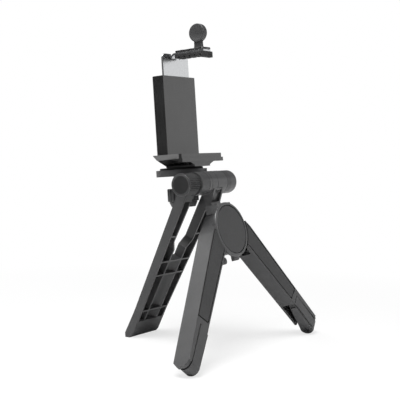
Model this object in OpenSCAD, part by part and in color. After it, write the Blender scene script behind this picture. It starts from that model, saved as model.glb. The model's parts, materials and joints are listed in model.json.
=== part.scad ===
// Small folding phone tripod: two front legs on a round hub, one ribbed rear leg,
// a tilting head on a barrel hinge and a sprung clamp for a phone.
// X runs along the barrel, Y to the back, Z up. The ground is Z = 0.

/* [Stance] */
// Height of the barrel's axis over the ground
barrel_z = 99.6; // [94:0.1:102]
// Place of the barrel's axis along Y
barrel_y = -6; // [-20:0.1:10]
// Lean of the hub and front legs, their feet to the front, in degrees
hub_lean = 18.4; // [12:0.2:20]
// Distance from the barrel's axis down to the hub's axis
hub_drop = 30.8; // [29:0.1:33]
// Angle of each front leg from the centre line, in degrees
leg_spread = 42.1; // [36:0.1:44]
// Lean of the rear leg, its foot to the back, in degrees
rear_lean = 24.9; // [23:0.1:29]
// Tilt of the head, its top to the back, in degrees
head_tilt = 5.8; // [0:0.1:8]

/* [Barrel] */
// Radius of the barrel's knuckles
barrel_r = 7.1; // [6.8:0.1:7.4]
// Radius of the tilt bolt
tilt_bolt_r = 2.5; // [2:0.1:3]
// Radius of the tilt knob over its ribs
knob_r = 6.6; // [6:0.1:7]
// Length of the tilt knob
knob_l = 12; // [10:0.5:14]
// Number of ribs round the knob
knob_ribs = 36; // [24:2:48]
// Length of the domed cap at the barrel's right end
end_cap_l = 7; // [6:0.5:8]
// Thickness of the washer between the knob and the barrel
knob_washer_t = 0.8; // [0.5:0.1:1.2]

/* [Hub] */
// Radius of the round hub plate
ring_r = 16.8; // [15.5:0.1:18]
// Thickness of the hub plate
ring_t = 1.9; // [1.7:0.1:2.6]
// Radius of the cover disc
cap_r = 14.6; // [13.5:0.1:15.2]
// Radius of the sleeve that the leg heads turn on
sleeve_r = 6; // [5.5:0.1:7]
// Width of the neck between the hub and the barrel
neck_w = 10.4; // [9:0.2:12]

/* [Front legs] */
// Radius of each leg's round head
head_r = 14.2; // [13:0.1:14.4]
// Depth of a leg from its front face to its back face
leg_d = 10.8; // [10.6:0.1:12.4]
// Width of a leg beside its head
leg_w_top = 14.1; // [13.5:0.1:15]
// Width of a leg at its foot
leg_w_foot = 9.6; // [9.4:0.1:11]
// Distance from the hub's axis to the lower end of the grip panel
panel_end = 70; // [60:0.5:71]
// Thickness of the grip panel
panel_t = 1.6; // [1.2:0.1:2]

/* [Foot arms] */
// Distance from the hub's axis to the upper end of the foot arm
arm_top = 74; // [73:0.1:77]
// Radius of the foot arm's round tip, half the arm's depth
tip_r = 4.6; // [4:0.1:4.8]
// Width of the foot arm along its screw
arm_w = 7.6; // [7:0.1:8]
// Radius of the screw that the foot arm turns on
foot_pin_r = 1.1; // [0.9:0.1:1.4]

/* [Rear leg] */
// Half the rear leg's width at the barrel
rear_half_top = 18.7; // [17.5:0.1:19.5]
// Half the rear leg's width at its narrowest, above the foot
rear_half_low = 13.9; // [12:0.1:14.5]
// Depth of the rear leg at the barrel
rear_d_top = 6.5; // [6:0.1:7.5]
// Depth of the rear leg at its foot
rear_d_foot = 5.2; // [4.4:0.1:5.8]
// Thickness of the rear leg's walls and ribs
rib_t = 1.2; // [0.9:0.1:1.5]
// Half the width of the slot between the two arms
slot_half = 9.9; // [9.7:0.1:10.2]

/* [Head] */
// Distance from the barrel's axis back to the camera screw
platform_y = 19.9; // [19:0.1:21]
// Radius of the round platform
platform_r = 15.7; // [15:0.1:17.5]
// Height of the platform's top over the barrel's axis
platform_top = 9.2; // [9:0.1:10]
// Thickness of the platform
platform_t = 4; // [3:0.1:4.4]
// Radius of the rubber pad on the platform
pad_r = 13.3; // [12:0.1:15]
// Thickness of the rubber pad
pad_t = 1.3; // [1:0.1:2]
// Radius of the thumbwheel under the platform
wheel_r = 9.6; // [9:0.1:9.6]
// Height of the thumbwheel
wheel_h = 11.5; // [9:0.5:12]
// Radius of the camera screw, a quarter-inch thread
screw_r = 3.175; // [3.1:0.025:3.25]

/* [Phone clamp] */
// Opening of the clamp's jaws at rest
jaw_open = 58.7; // [54:0.1:66]
// Length of the lower jaw along X
jaw_l = 45; // [40:1:52]
// Depth of the lower jaw from front to back
jaw_d = 22.2; // [20:0.2:25]
// Height of the clamp's base from the rubber pad to the phone's seat
base_h = 7.85; // [7:0.05:9]
// Width of the column behind the phone
column_w = 34; // [32:0.5:38]
// Height of the column over the lower jaw
column_h = 48; // [44:0.5:50]
// Thickness of the chrome slide plate
slide_t = 1.2; // [1:0.1:1.5]
// Width of the upper jaw along X
upper_w = 9; // [8:0.5:12]
// Reach of the upper jaw in front of the column
upper_reach = 23.4; // [20:0.1:25]
// Radius of the pull tab's disc
tab_r = 5.6; // [4.5:0.1:7]
// Thickness of the pull tab's disc
tab_t = 3.6; // [3:0.1:5]

/* [Hidden] */
$fn = 96;

// Small gaps and overruns used by every fit
over = 1;
run_gap = 0.05;
seat_gap = 0.15;
part_gap = 0.3;

// Barrel: where each knuckle starts and ends along X
eye_left_inset = 0.6;
eye_right_inset = 4.6;
eye_l = rear_half_top - slot_half - eye_left_inset;
eye_right_l = rear_half_top - slot_half - eye_right_inset;
hub_knuckle_l = 5.9;
knuckle_gap = 0.3;
left_eye_x1 = -slot_half;
left_eye_x0 = left_eye_x1 - eye_l;
right_eye_x0 = slot_half;
right_eye_x1 = right_eye_x0 + eye_right_l;
hub_knuckle_left = 6.9;
hub_knuckle_x0 = -hub_knuckle_left;
hub_knuckle_x1 = hub_knuckle_x0 + hub_knuckle_l;
bracket_left_x0 = left_eye_x1 + knuckle_gap;
bracket_left_x1 = hub_knuckle_x0 - knuckle_gap;
bracket_right_x0 = hub_knuckle_x1 + knuckle_gap;
bracket_right_x1 = right_eye_x0 - knuckle_gap;
end_cap_x0 = right_eye_x1 + seat_gap;
end_cap_round_r = 1.8;
washer_x1 = left_eye_x0 - run_gap;
washer_x0 = washer_x1 - knob_washer_t;
washer_inset = 0.5;
washer_r = knob_r - washer_inset;
knob_x1 = washer_x0 - run_gap;
knob_x0 = knob_x1 - knob_l;
knob_rim_l = 1.2;
knob_rim_r = knob_r + run_gap;
knob_rib_depth = 0.35;
knob_dish_r = 5.6;
knob_dish_depth = 0.4;
barrel_room = barrel_r + part_gap;

// Tilt bolt and the nut held in the right eye
bolt_end_gap = 1.4;
tilt_bolt_x0 = knob_x0 + bolt_end_gap;
tilt_nut_l = 3;
tilt_nut_r = 4.6;
tilt_nut_x1 = right_eye_x1 - seat_gap;
tilt_nut_x0 = tilt_nut_x1 - tilt_nut_l;
tilt_bolt_x1 = right_eye_x1 + bolt_end_gap;
cap_hollow_r = 3.9;
cap_hollow_l = 2;

// Hub, measured along its axis from the plane that holds the barrel's axis
legs_front = -7.9;
heads_front = -5.5;
legs_back = legs_front + leg_d;
legs_mid = (heads_front + legs_back) / 2;
ring_back = heads_front - part_gap;
ring_front = ring_back - ring_t;
ring_round = 0.9;
plate_gap = 0.5;
plate_room = ring_r + plate_gap;
cap_t = 1.3;
cap_proud = 0.2;
cap_groove = 0.5;
cap_edge = 0.3;
cap_back = ring_front - cap_proud + cap_t;
bolt_r = 2;
bolt_head_r = 3.6;
bolt_head_l = 1.7;
bolt_head_back = cap_back + bolt_head_l;
wave_t = 0.5;
wave_r = 8;
wave_front = legs_back + run_gap;
retainer_front = wave_front + wave_t + run_gap;
retainer_t = 1.9;
retainer_room = 1.2;
retainer_r = slot_half - retainer_room;
retainer_back = retainer_front + retainer_t;
hinge_nut_r = 3.9;
hinge_nut_l = 2.2;
hinge_nut_sink = 0.6;
hinge_nut_front = retainer_back - hinge_nut_sink;
bolt_tail = 0.5;
bolt_back = hinge_nut_front + hinge_nut_l + bolt_tail;
neck_room = 0.5;
neck_low = head_r + neck_room;
neck_foot_front = -7.5;
neck_foot_high = 16.5;
neck_foot_low = 11;
neck_foot_left = 9.5;
neck_front_y = -1;
neck_front_low = 17;
neck_front_high = 18.5;
neck_brow_y = -5.6;
neck_brow_z = 25.5;
neck_top_y = -6.5;
neck_heel_y = 1.5;
neck_back_y = 3;
neck_back_low = 18;
neck_back_mid_y = 4;
neck_back_mid = 24.6;
neck_shoulder_y = 5;
neck_shoulder_z = 27.6;
neck_rim = 1.5;
neck_pocket_low = 18.9;
neck_pocket_low_y = 0.4;
neck_pocket_high = 25.2;
neck_pocket_high_y = -3.7;
stop_half = 3.9;
stop_left = 2.6;
stop_drop = 2;
stop_low = ring_r + stop_drop;
stop_mid = ring_r - ring_round;
stop_room = 0.4;
stop_front = heads_front;
stop_t = 2;
stop_back = stop_front + stop_t;

// Front legs, in each leg's own plane: across from its inner edge, down from the hub's axis
leg_inner = 1.6;
leg_outer_top = leg_inner + leg_w_top;
leg_outer_foot = leg_inner + leg_w_foot;
leg_corner = 14;
leg_top_room = 1;
head_gap = 0.3;
outer_wall = 2.2;
recess_across = leg_outer_foot - outer_wall;
back_wall = 1.5;
back_wall_front = legs_back - back_wall;
back_wall_short = 9.4;
tooth_h = 0.5;
tooth_pitch = 1.9;
tooth_gap = 3.4;
panel_border_in = 0.8;
panel_border_out = 0.4;
panel_gap = 0.5;
panel_rise = 3;
panel_slant = 0.8;
panel_cavity_edge = 2.4;
panel_cavity_wall = 1.8;
arm_sink = 0.2;
arm_out = 0.9;
arm_inner = leg_inner - arm_out;
arm_outer = arm_inner + arm_w;
arm_chamfer = 1.2;
arm_step_l = 2.2;
arm_step = 0.9;
arm_front = legs_front + arm_sink;
arm_catch = 0.6;
arm_top_d = 4.8;
arm_top_back = legs_front + arm_top_d;
arm_heel_drop = 0.8;
tip_y = arm_front + tip_r;
arm_back = tip_y + tip_r;
pin_head_r = 1.9;
pin_head_l = 1.3;
pin_grip = 1.2;
pin_end = recess_across + pin_grip;
pin_slot_w = 0.5;
pin_slot_depth = 0.4;
shell_back_rise = 3;
shell_heel_y = legs_back - shell_back_rise;
shell_tip_room = 0.4;
latch_s = 21.4;
latch_r = 2.1;
latch_half = 2.6;
latch_mid = (legs_front + legs_back) / 2;
latch_front = latch_mid - latch_half;
latch_back = latch_mid + latch_half;
latch_reach = 2.8;
latch_gap = 0.5;

// The foot arm's length that sets the edge of its tip on the ground
hub_z = barrel_z - hub_drop * cos(hub_lean);
tip_edge = arm_inner + arm_chamfer;
tip_fall = sqrt(pow(sin(hub_lean), 2) + pow(cos(leg_spread) * cos(hub_lean), 2));
tip_edge_r = tip_r - arm_chamfer / 2;
tip_rest = hub_z + cos(hub_lean) * arm_inner * sin(leg_spread) - sin(hub_lean) * tip_y;
tip_s = (tip_rest - tip_edge_r * tip_fall) / (cos(hub_lean) * cos(leg_spread));
leg_end = tip_s + tip_r - shell_tip_room;
// The leg's outer edge at a distance down from the hub's axis, below and above its corner
function leg_outer(s) = leg_outer_top
    - (leg_outer_top - leg_outer_foot) * (s - leg_corner) / (leg_end - leg_corner);
function leg_brow(s) = head_r
    + (leg_outer_top - head_r) * (s + leg_top_room) / (leg_corner + leg_top_room);

// Rear leg, in its own plane: across is X, down from the barrel's axis
rear_front = 0.8;
rear_back_top = rear_front + rear_d_top;
rear_back_foot = rear_front + rear_d_foot;
rear_grid_end = 98.5;
rear_taper_end = 92;
rear_skin = 1.3;
rear_eye_run = 9;
slot_step_top = 41;
slot_step_low = 47;
slot_low_half = 5.9;
slot_end = 54.6;
rear_rib_rows = [12.2, 37.1, slot_end + rib_t / 2, 64.9, 91];
rear_inner_low = slot_low_half;
rear_flare = 0.5;
rear_foot_half = rear_half_low + rear_flare;
trough_r = 7;
trough_off = 3.6;
// The line down the rear leg where a point this far back meets the ground
function ground_s(back) = (barrel_z + back * sin(rear_lean)) / cos(rear_lean);
rear_sole_front = 1.6;
rear_sole_back = 4.5;
rear_toe_rise = 1.9;
rear_heel_rise = 2.4;

// Head, measured from the barrel's axis in the tilted head's own frame
web_front = 0;
web_low = -3.6;
platform_low = platform_top - platform_t;
boss_r = 5.2;
boss_low = -2.1;
wheel_gap = 0.3;
wheel_top = boss_low - wheel_gap;
wheel_low = wheel_top - wheel_h;
wheel_lobes = 10;
wheel_groove_r = 1.1;
wheel_chamfer = 2.2;
wheel_chamfer_in = 1.6;
wheel_bore_r = screw_r;
pad_bore_r = 5;
pad_high = platform_top + pad_t;
clip_r = 5;
clip_t = 0.8;
clip_slot_half = 1.9;
insert_r = 3.9;
insert_l = 5.4;
screw_reach = 4.6;
screw_top = pad_high + screw_reach;
wheel_floor = 1.6;
screw_low = wheel_low + wheel_floor;

// Phone clamp: the base's hull, its column and the slide plate
seat_z = pad_high + base_h;
column_wall = 1.4;
phone_gap = 0.3;
phone_back_y = 17.2;
column_front = phone_back_y + phone_gap;
column_back = column_front + column_wall;
slide_front = column_back + part_gap;
slide_back = slide_front + slide_t;
slide_side_room = 0.9;
column_side = 2.6;
slide_w = column_w - 2 * (column_side + slide_side_room);
cover_front_gap = 3.7;
cover_front = slide_back + cover_front_gap;
cover_t = 1.4;
cover_back = cover_front + cover_t;
jaw_back = cover_back;
jaw_front = jaw_back - jaw_d;
jaw_bar_h = 5;
jaw_bar_t = 3;
jaw_band_h = 2.4;
jaw_step = 0.9;
jaw_end_step = 0.6;
jaw_bar_z = seat_z - jaw_bar_h;
jaw_bar_back = jaw_front + jaw_bar_t;
hull_half = jaw_l / 2 - jaw_end_step;
hull_mid = 3;
hull_neck_half = 8.5;
hull_neck_z = pad_high;
hull_neck_h = 1;
hull_low_z = hull_neck_z + hull_neck_h;
hull_side_z = seat_z - hull_mid;
hull_end_w = 4;
jaw_pad_t = 1.2;
jaw_pad_w = 24;
insert_low = pad_high;
column_top = seat_z + column_h;
floor_t = 1.2;
floor_z = seat_z + floor_t;
cover_screw_r = 1.1;
cover_screw_head_r = 2;
cover_screw_head_l = 0.8;
cover_screw_in = 11;
cover_screw_drop = 2.7;
cover_screw_x = jaw_l / 2 - cover_screw_in;
cover_screw_z = seat_z - cover_screw_drop;
cover_screw_l = 5.5;

// Upper jaw: the slide plate's tongue, its pad, cap and pull tab
phone_top_z = seat_z + jaw_open;
upper_pad_t = 2.2;
tongue_low = phone_top_z + upper_pad_t;
tongue_high = tongue_low + slide_t;
upper_cap_t = 1.3;
upper_cap_high = tongue_high + upper_cap_t;
tongue_front = slide_front - upper_reach;
tongue_side = 0.6;
tongue_half = upper_w / 2 - tongue_side;
tongue_slit = 0.8;
slide_bend_r = 3.4;
slide_down = 43;
slide_low = phone_top_z - slide_down;
slide_corner_r = 3;
slide_shoulder_drop = 0.4;
slide_shoulder_z = tongue_high - slide_shoulder_drop;
upper_tooth_gap = 1.5;
upper_tooth_h = 1;
upper_teeth = 5;
upper_front_out = 0.9;
upper_back_room = 0.4;
upper_back_y = slide_back - slide_bend_r - upper_back_room;
upper_lip_h = 1.3;
upper_lip_l = 2.6;
upper_front = tongue_front - upper_front_out;
upper_teeth_front = upper_front + upper_lip_l;
upper_tooth_pitch = (upper_back_y - upper_teeth_front) / upper_teeth;
tab_y = 1.6;
tab_stem_w = 5.7;
tab_stem_t = 2;
tab_lift = 9.3;
tab_z = upper_cap_high + tab_lift;
tab_dish_r = 9;
tab_dish_depth = 0.9;
rivet_r = 0.9;
rivet_head_r = 1.5;
rivet_head_l = 0.5;
rivet_front_y = 7;
rivet_back_y = 13.4;
rivet_sink = 0.8;
rivet_low = tongue_low - rivet_sink;

// Springs that pull the slide plate down, one each side
rail_room = 1;
rail_t = 1.4;
rail_out = column_w / 2 - column_side - rail_room;
rail_in = rail_out - rail_t;
spring_room = 3;
spring_x = rail_in - spring_room;
spring_y = (slide_back + cover_front) / 2;
spring_r = 1.3;
spring_wire_r = 0.28;
spring_curls = 9;
spring_rings = 8;
spring_sides = 6;
lug_t = 1.2;
lug_half = 2.4;
lug_rise = 0.4;
lug_low = slide_low + lug_rise;
lug_back = cover_front - part_gap;
spring_z0 = floor_z + spring_wire_r;
spring_z1 = lug_low - spring_wire_r;
spring_pitch = (spring_z1 - spring_z0) / spring_curls;
post_r = 0.8;
post_l = 2;
rail_gap = 0.2;
rail_top_gap = 1;

// Frames: each one places its children in a sub-assembly's own axes
module at_barrel() translate([0, barrel_y, barrel_z]) children();
module at_hub() at_barrel() rotate([-hub_lean, 0, 0]) translate([0, 0, -hub_drop]) children();
module at_rear() at_barrel() rotate([rear_lean, 0, 0]) children();
module at_head() at_barrel() rotate([-head_tilt, 0, 0]) children();
module right_leg_frame() at_hub() rotate([0, -leg_spread, 0]) children();
module left_leg_frame() at_hub() mirror([1, 0, 0]) rotate([0, -leg_spread, 0]) children();

// Rods and slabs that lie along an axis
module rod_x(r, x0, x1) translate([x0, 0, 0]) rotate([0, 90, 0]) cylinder(r=r, h=x1 - x0);
module rod_y(r, y0, y1) translate([0, y0, 0]) rotate([-90, 0, 0]) cylinder(r=r, h=y1 - y0);
module rod_z(r, z0, z1) translate([0, 0, z0]) cylinder(r=r, h=z1 - z0);
module slab_x(x0, x1) translate([x0, 0, 0]) rotate([90, 0, 90]) linear_extrude(x1 - x0) children();
module slab_y(y0, y1) translate([0, y1, 0]) rotate([90, 0, 0]) linear_extrude(y1 - y0) children();
module slab_z(z0, z1) translate([0, 0, z0]) linear_extrude(z1 - z0) children();
module block(x0, x1, y0, y1, z0, z1) translate([x0, y0, z0]) cube([x1 - x0, y1 - y0, z1 - z0]);

// Hub: round plate, sleeve for the leg heads, and the neck up to its knuckle of the barrel
module plate_profile() {
    square([ring_r, ring_t - ring_round]);
    square([ring_r - ring_round, ring_t]);
    translate([ring_r - ring_round, ring_t - ring_round]) circle(r=ring_round);
}

module hub_plate() {
    translate([0, ring_back, 0]) rotate([90, 0, 0]) rotate_extrude() plate_profile();
    rod_y(sleeve_r, ring_front, retainer_front);
    // The tab under the plate, behind the level of the legs' faces
    block(-stop_left, stop_half, ring_back - ring_t / 2, stop_back, -stop_mid, -neck_low);
    slab_y(stop_front, stop_back)
        polygon([[-stop_left, -neck_low], [-stop_left, -stop_low], [stop_half / 2, -stop_low],
            [stop_half, -stop_low + stop_half / 4], [stop_half, -neck_low]]);
}

// The neck's foot spreads to the left over the leg heads
module neck_foot() difference() {
    block(-neck_foot_left, 0, neck_foot_front, neck_heel_y, neck_foot_low, neck_foot_high);
    rod_y(neck_low, neck_foot_front - over, neck_heel_y + over);
}

module hub_neck() {
    neck_foot();
    slab_x(-neck_w / 2, neck_w / 2)
        polygon([[neck_foot_front, neck_low], [neck_heel_y, neck_low], [neck_back_y, neck_back_low],
            [neck_back_mid_y, neck_back_mid], [neck_shoulder_y, neck_shoulder_z],
            [neck_shoulder_y, hub_drop], [neck_top_y, hub_drop], [neck_brow_y, neck_brow_z],
            [neck_front_y, neck_front_high], [neck_front_y, neck_front_low],
            [neck_foot_front, neck_foot_high]]);
    translate([0, 0, hub_drop]) rod_x(barrel_r, hub_knuckle_x0, hub_knuckle_x1);
}

module neck_pocket()
    slab_x(-neck_w / 2 + neck_rim, neck_w / 2 - neck_rim)
        polygon([[ring_front - over, neck_pocket_low], [neck_pocket_low_y, neck_pocket_low],
            [neck_pocket_high_y, neck_pocket_high], [ring_front - over, neck_pocket_high]]);

module hub_frame() {
    color("dimgray") at_hub() difference() {
        union() {
            hub_plate();
            hub_neck();
        }
        rod_y(cap_r + cap_groove, ring_front - over, cap_back);
        rod_y(bolt_head_r + seat_gap, cap_back - over, bolt_head_back);
        rod_y(bolt_r + seat_gap, ring_front, retainer_front + over);
        neck_pocket();
        translate([0, 0, hub_drop]) {
            rod_x(tilt_bolt_r + run_gap, hub_knuckle_x0 - over, hub_knuckle_x1 + over);
            rod_x(barrel_room, hub_knuckle_x1, neck_w / 2 + over);
        }
    }
}

module hub_cap() {
    color("black") at_hub() {
        rod_y(cap_r, ring_front - cap_proud + cap_edge, cap_back);
        translate([0, ring_front - cap_proud + cap_edge, 0]) rotate([90, 0, 0])
            cylinder(r1=cap_r, r2=cap_r - cap_edge, h=cap_edge);
    }
}

module leg_hinge_bolt() {
    color("silver") at_hub() {
        rod_y(bolt_head_r, cap_back, bolt_head_back);
        rod_y(bolt_r, cap_back, bolt_back);
    }
}

module leg_wave_washer() {
    color("silver") at_hub() difference() {
        rod_y(wave_r, wave_front, wave_front + wave_t);
        rod_y(sleeve_r + run_gap, wave_front - over, wave_front + wave_t + over);
    }
}

module hub_retainer() {
    color("black") at_hub() difference() {
        rod_y(retainer_r, retainer_front, retainer_back);
        rod_y(bolt_r + seat_gap, retainer_front - over, retainer_back + over);
        translate([0, hinge_nut_front, 0]) rotate([-90, 0, 0])
            cylinder(r=hinge_nut_r + seat_gap, h=hinge_nut_sink + over, $fn=6);
    }
}

module leg_hinge_nut() {
    color("silver") at_hub() difference() {
        translate([0, hinge_nut_front, 0]) rotate([-90, 0, 0])
            cylinder(r=hinge_nut_r, h=hinge_nut_l, $fn=6);
        rod_y(bolt_r, hinge_nut_front - over, bolt_back + over);
    }
}

// Front leg: a hollow shell with half a round head, a recess for the grip panel,
// and an open lower end whose outer and back walls hold the foot arm
module leg_face() {
    polygon([[leg_inner, 0], [head_r, leg_top_room], [leg_outer_top, -leg_corner],
        [leg_outer_foot, -leg_end], [leg_inner, -leg_end]]);
}

module leg_side() {
    polygon([[legs_front, head_r], [legs_back, head_r],
        [legs_back, -leg_end + shell_back_rise], [shell_heel_y, -leg_end], [tip_y, -leg_end],
        [legs_front, -tip_s]]);
    translate([tip_y, -tip_s]) circle(r=leg_end - tip_s);
}

module panel_face(edge) {
    inner = leg_inner + panel_border_in + edge;
    outer = panel_border_out + edge;
    polygon([[inner, -leg_corner + panel_rise],
        [leg_brow(leg_corner - panel_rise) - outer, -leg_corner + panel_rise],
        [leg_outer_top - outer, -leg_corner],
        [leg_outer(panel_end + panel_slant) - outer, -panel_end - panel_slant + edge],
        [inner, -panel_end + edge]]);
}

// Room in a leg's front for the hub plate, and a pocket in its inner side for the tab
module plate_opening() {
    rod_y(plate_room, legs_front - over, heads_front);
}

module tab_pocket() {
    block(-over, stop_half + stop_room, stop_front - stop_room, stop_back + stop_room,
        -stop_low - 2 * stop_room, 0);
}

module back_teeth() {
    for (z = [-arm_top - tooth_gap : -tooth_pitch : -leg_end + back_wall_short + tooth_gap])
        slab_x(leg_inner, recess_across)
            polygon([[back_wall_front, z], [back_wall_front - tooth_h, z - tooth_pitch / 2],
                [back_wall_front, z - tooth_pitch]]);
}

module leg_shell(head_front, head_back, other_front, other_back) {
    difference() {
        union() {
            difference() {
                intersection() {
                    slab_y(legs_front, legs_back) leg_face();
                    slab_x(0, leg_outer_top + over) leg_side();
                }
                rod_y(head_r + head_gap, other_front, other_back);
                block(-over, recess_across, legs_front - over, back_wall_front, -leg_end - over,
                    -arm_top + part_gap);
                block(-over, recess_across, legs_front - over, legs_back + over, -leg_end - over,
                    -leg_end + back_wall_short);
                plate_opening();
                tab_pocket();
            }
            rod_y(head_r, head_front, head_back);
            back_teeth();
        }
        rod_y(sleeve_r + run_gap, legs_front - over, legs_back + over);
        slab_y(legs_front - over, legs_front + panel_t) panel_face(0);
        difference() {
            slab_y(legs_front, legs_back - panel_cavity_wall) panel_face(panel_cavity_edge);
            rod_y(plate_room + panel_cavity_edge, legs_front - over, legs_back);
        }
        translate([0, tip_y, -tip_s]) rod_x(foot_pin_r, 0, pin_end + over / 2);
    }
}

module right_leg() {
    color("dimgray") right_leg_frame() difference() {
        leg_shell(legs_mid + seat_gap, legs_back, legs_front - over, legs_mid + seat_gap);
        translate([latch_reach, 0, -latch_s]) rod_y(latch_r + latch_gap, latch_front - latch_gap,
            latch_back + latch_gap);
        block(-over, latch_reach, latch_front - latch_gap, latch_back + latch_gap,
            -latch_s - latch_r - latch_gap, -latch_s + latch_r + latch_gap);
    }
}

module left_leg() {
    color("dimgray") left_leg_frame() {
        leg_shell(heads_front, legs_mid - seat_gap, legs_mid - seat_gap, legs_back + over);
        translate([-latch_reach, 0, -latch_s]) rod_y(latch_r, latch_front, latch_back);
        block(-latch_reach, leg_inner, latch_front, latch_back, -latch_s - latch_r / 2,
            -latch_s + latch_r / 2);
    }
}

module grip_panel() {
    difference() {
        slab_y(legs_front, legs_front + panel_t) panel_face(panel_gap);
        plate_opening();
    }
}

module left_grip_panel() color("black") left_leg_frame() grip_panel();
module right_grip_panel() color("black") right_leg_frame() grip_panel();

// Foot arm: lies in the leg's lower end and turns out on the screw near its tip
module arm_side(inset) {
    polygon([[arm_front + inset, -tip_s], [arm_front - arm_catch + inset, -arm_top - inset],
        [arm_top_back - arm_heel_drop - inset, -arm_top - inset],
        [arm_top_back - inset, -arm_top - arm_heel_drop - inset], [arm_back - inset, -tip_s]]);
    translate([tip_y, -tip_s]) circle(r=tip_r - inset);
}

module foot_arm() {
    difference() {
        union() {
            slab_x(tip_edge, arm_outer) arm_side(0);
            slab_x(arm_inner, tip_edge) arm_side(tip_r - tip_edge_r);
            translate([0, tip_y, -tip_s]) translate([arm_inner, 0, 0]) rotate([0, 90, 0])
                cylinder(r1=tip_edge_r, r2=tip_r, h=arm_chamfer);
        }
        block(arm_inner - over, arm_inner + arm_step, arm_front - arm_catch - over, arm_back + over,
            -arm_top - arm_step_l, -arm_top + over);
        translate([0, tip_y, -tip_s]) {
            rod_x(foot_pin_r + run_gap, arm_inner - over, arm_outer + over);
            rod_x(pin_head_r + seat_gap, arm_inner - over, arm_inner + pin_head_l);
        }
    }
}

module left_foot_arm() color("dimgray") left_leg_frame() foot_arm();
module right_foot_arm() color("dimgray") right_leg_frame() foot_arm();

module foot_screw() {
    translate([0, tip_y, -tip_s]) difference() {
        union() {
            rod_x(pin_head_r, arm_inner + seat_gap, arm_inner + pin_head_l - run_gap);
            rod_x(foot_pin_r, arm_inner + pin_head_l / 2, pin_end);
        }
        block(arm_inner - over, arm_inner + seat_gap + pin_slot_depth, -pin_slot_w / 2, pin_slot_w / 2,
            -pin_head_r - over, pin_head_r + over);
    }
}

module left_foot_screw() color("silver") left_leg_frame() foot_screw();
module right_foot_screw() color("silver") right_leg_frame() foot_screw();

// Rear leg: a ribbed plate that tapers in width and depth, with two eyes round the barrel
function rear_half(s) = rear_half_top - (rear_half_top - rear_half_low) * s / rear_taper_end;
function rear_back(s) = rear_back_top - (rear_back_top - rear_back_foot) * s / rear_grid_end;

module rear_outline() {
    toe = ground_s(rear_sole_back);
    polygon([[-rear_half(0), 0], [rear_half(0), 0], [rear_half_low, -rear_taper_end],
        [rear_foot_half, -toe], [-rear_foot_half, -toe], [-rear_half_low, -rear_taper_end]]);
}

module rear_profile() {
    polygon([[rear_front, 0], [rear_back_top, 0], [rear_back_top, -rear_eye_run],
        [rear_back_foot, -rear_grid_end], [rear_back_foot, -ground_s(rear_sole_back) + rear_heel_rise],
        [rear_sole_back, -ground_s(rear_sole_back)], [rear_sole_front, -ground_s(rear_sole_front)],
        [rear_front, -ground_s(rear_front) + rear_toe_rise]]);
}

module rear_depth() {
    polygon([[rear_front - over, over], [rear_back_top - rear_skin, over],
        [rear_back_top - rear_skin, -rear_eye_run], [rear_back_foot - rear_skin, -rear_grid_end],
        [rear_front - over, -rear_grid_end]]);
}

module rear_slot() {
    polygon([[-slot_half, barrel_r + over], [slot_half, barrel_r + over], [slot_half, -slot_step_top],
        [slot_low_half, -slot_step_low], [slot_low_half, -slot_end], [-slot_low_half, -slot_end],
        [-slot_low_half, -slot_step_low], [-slot_half, -slot_step_top]]);
}

// Inner walls follow the slot, so this is how far in each side bay reaches
function bay_in(s) = rib_t + (s < slot_step_top ? slot_half
    : s < slot_step_low ? slot_half - (slot_half - slot_low_half) * (s - slot_step_top)
        / (slot_step_low - slot_step_top) : slot_low_half);

module side_bay(s0, s1) {
    bends = [for (s = [slot_step_top, slot_step_low]) if (s > s0 && s < s1) s];
    inner = concat([s0], bends, [s1]);
    polygon(concat([for (s = inner) [bay_in(s), -s]],
        [[rear_half(s1) - rib_t, -s1], [rear_half(s0) - rib_t, -s0]]));
}

module rear_side_bays() {
    rows = concat(rear_rib_rows, [rear_grid_end]);
    for (i = [0 : len(rows) - 2], side = [0, 1])
        mirror([side, 0])
            side_bay(rows[i] + rib_t / 2, rows[i + 1] - (i < len(rows) - 2 ? rib_t / 2 : 0));
}

module rear_mid_bays() {
    rows = [rear_rib_rows[2], rear_rib_rows[3], rear_rib_rows[4], rear_grid_end];
    for (i = [0 : len(rows) - 2])
        translate([-rear_inner_low, -rows[i + 1] + (i < len(rows) - 2 ? rib_t / 2 : 0)])
            square([2 * rear_inner_low, rows[i + 1] - rows[i] - (i < len(rows) - 2 ? rib_t : rib_t / 2)]);
}

module rear_leg() {
    color("dimgray") at_rear() difference() {
        union() {
            intersection() {
                slab_y(rear_front, rear_back_top) rear_outline();
                slab_x(-rear_half_top, rear_half_top) rear_profile();
            }
            rod_x(barrel_r, left_eye_x0, left_eye_x1);
            rod_x(barrel_r, right_eye_x0, right_eye_x1);
        }
        slab_y(-barrel_r - over, rear_back_top + over) rear_slot();
        intersection() {
            slab_y(rear_front - over, rear_back_top) rear_side_bays();
            slab_x(-rear_half_top, rear_half_top) rear_depth();
        }
        intersection() {
            slab_y(rear_front - over, rear_back_top) rear_mid_bays();
            translate([0, rear_front - trough_off, -rear_grid_end - over])
                cylinder(r=trough_r, h=rear_grid_end + over);
        }
        rod_x(tilt_bolt_r + run_gap, left_eye_x0 - over, right_eye_x1 + over);
        rod_x(barrel_room, -rear_half_top - over, left_eye_x0);
        rod_x(barrel_room, right_eye_x1, rear_half_top + over);
        translate([tilt_nut_x0, 0, 0]) rotate([0, 90, 0])
            cylinder(r=tilt_nut_r, h=tilt_nut_l + over, $fn=6);
    }
}

// Barrel hardware
module knob_outline() {
    rib_angle = 360 / knob_ribs;
    polygon([for (i = [0 : knob_ribs - 1], k = [0, 1])
        (k == 0 ? knob_r : knob_r - knob_rib_depth)
            * [cos((i + k / 2) * rib_angle), sin((i + k / 2) * rib_angle)]]);
}

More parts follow.
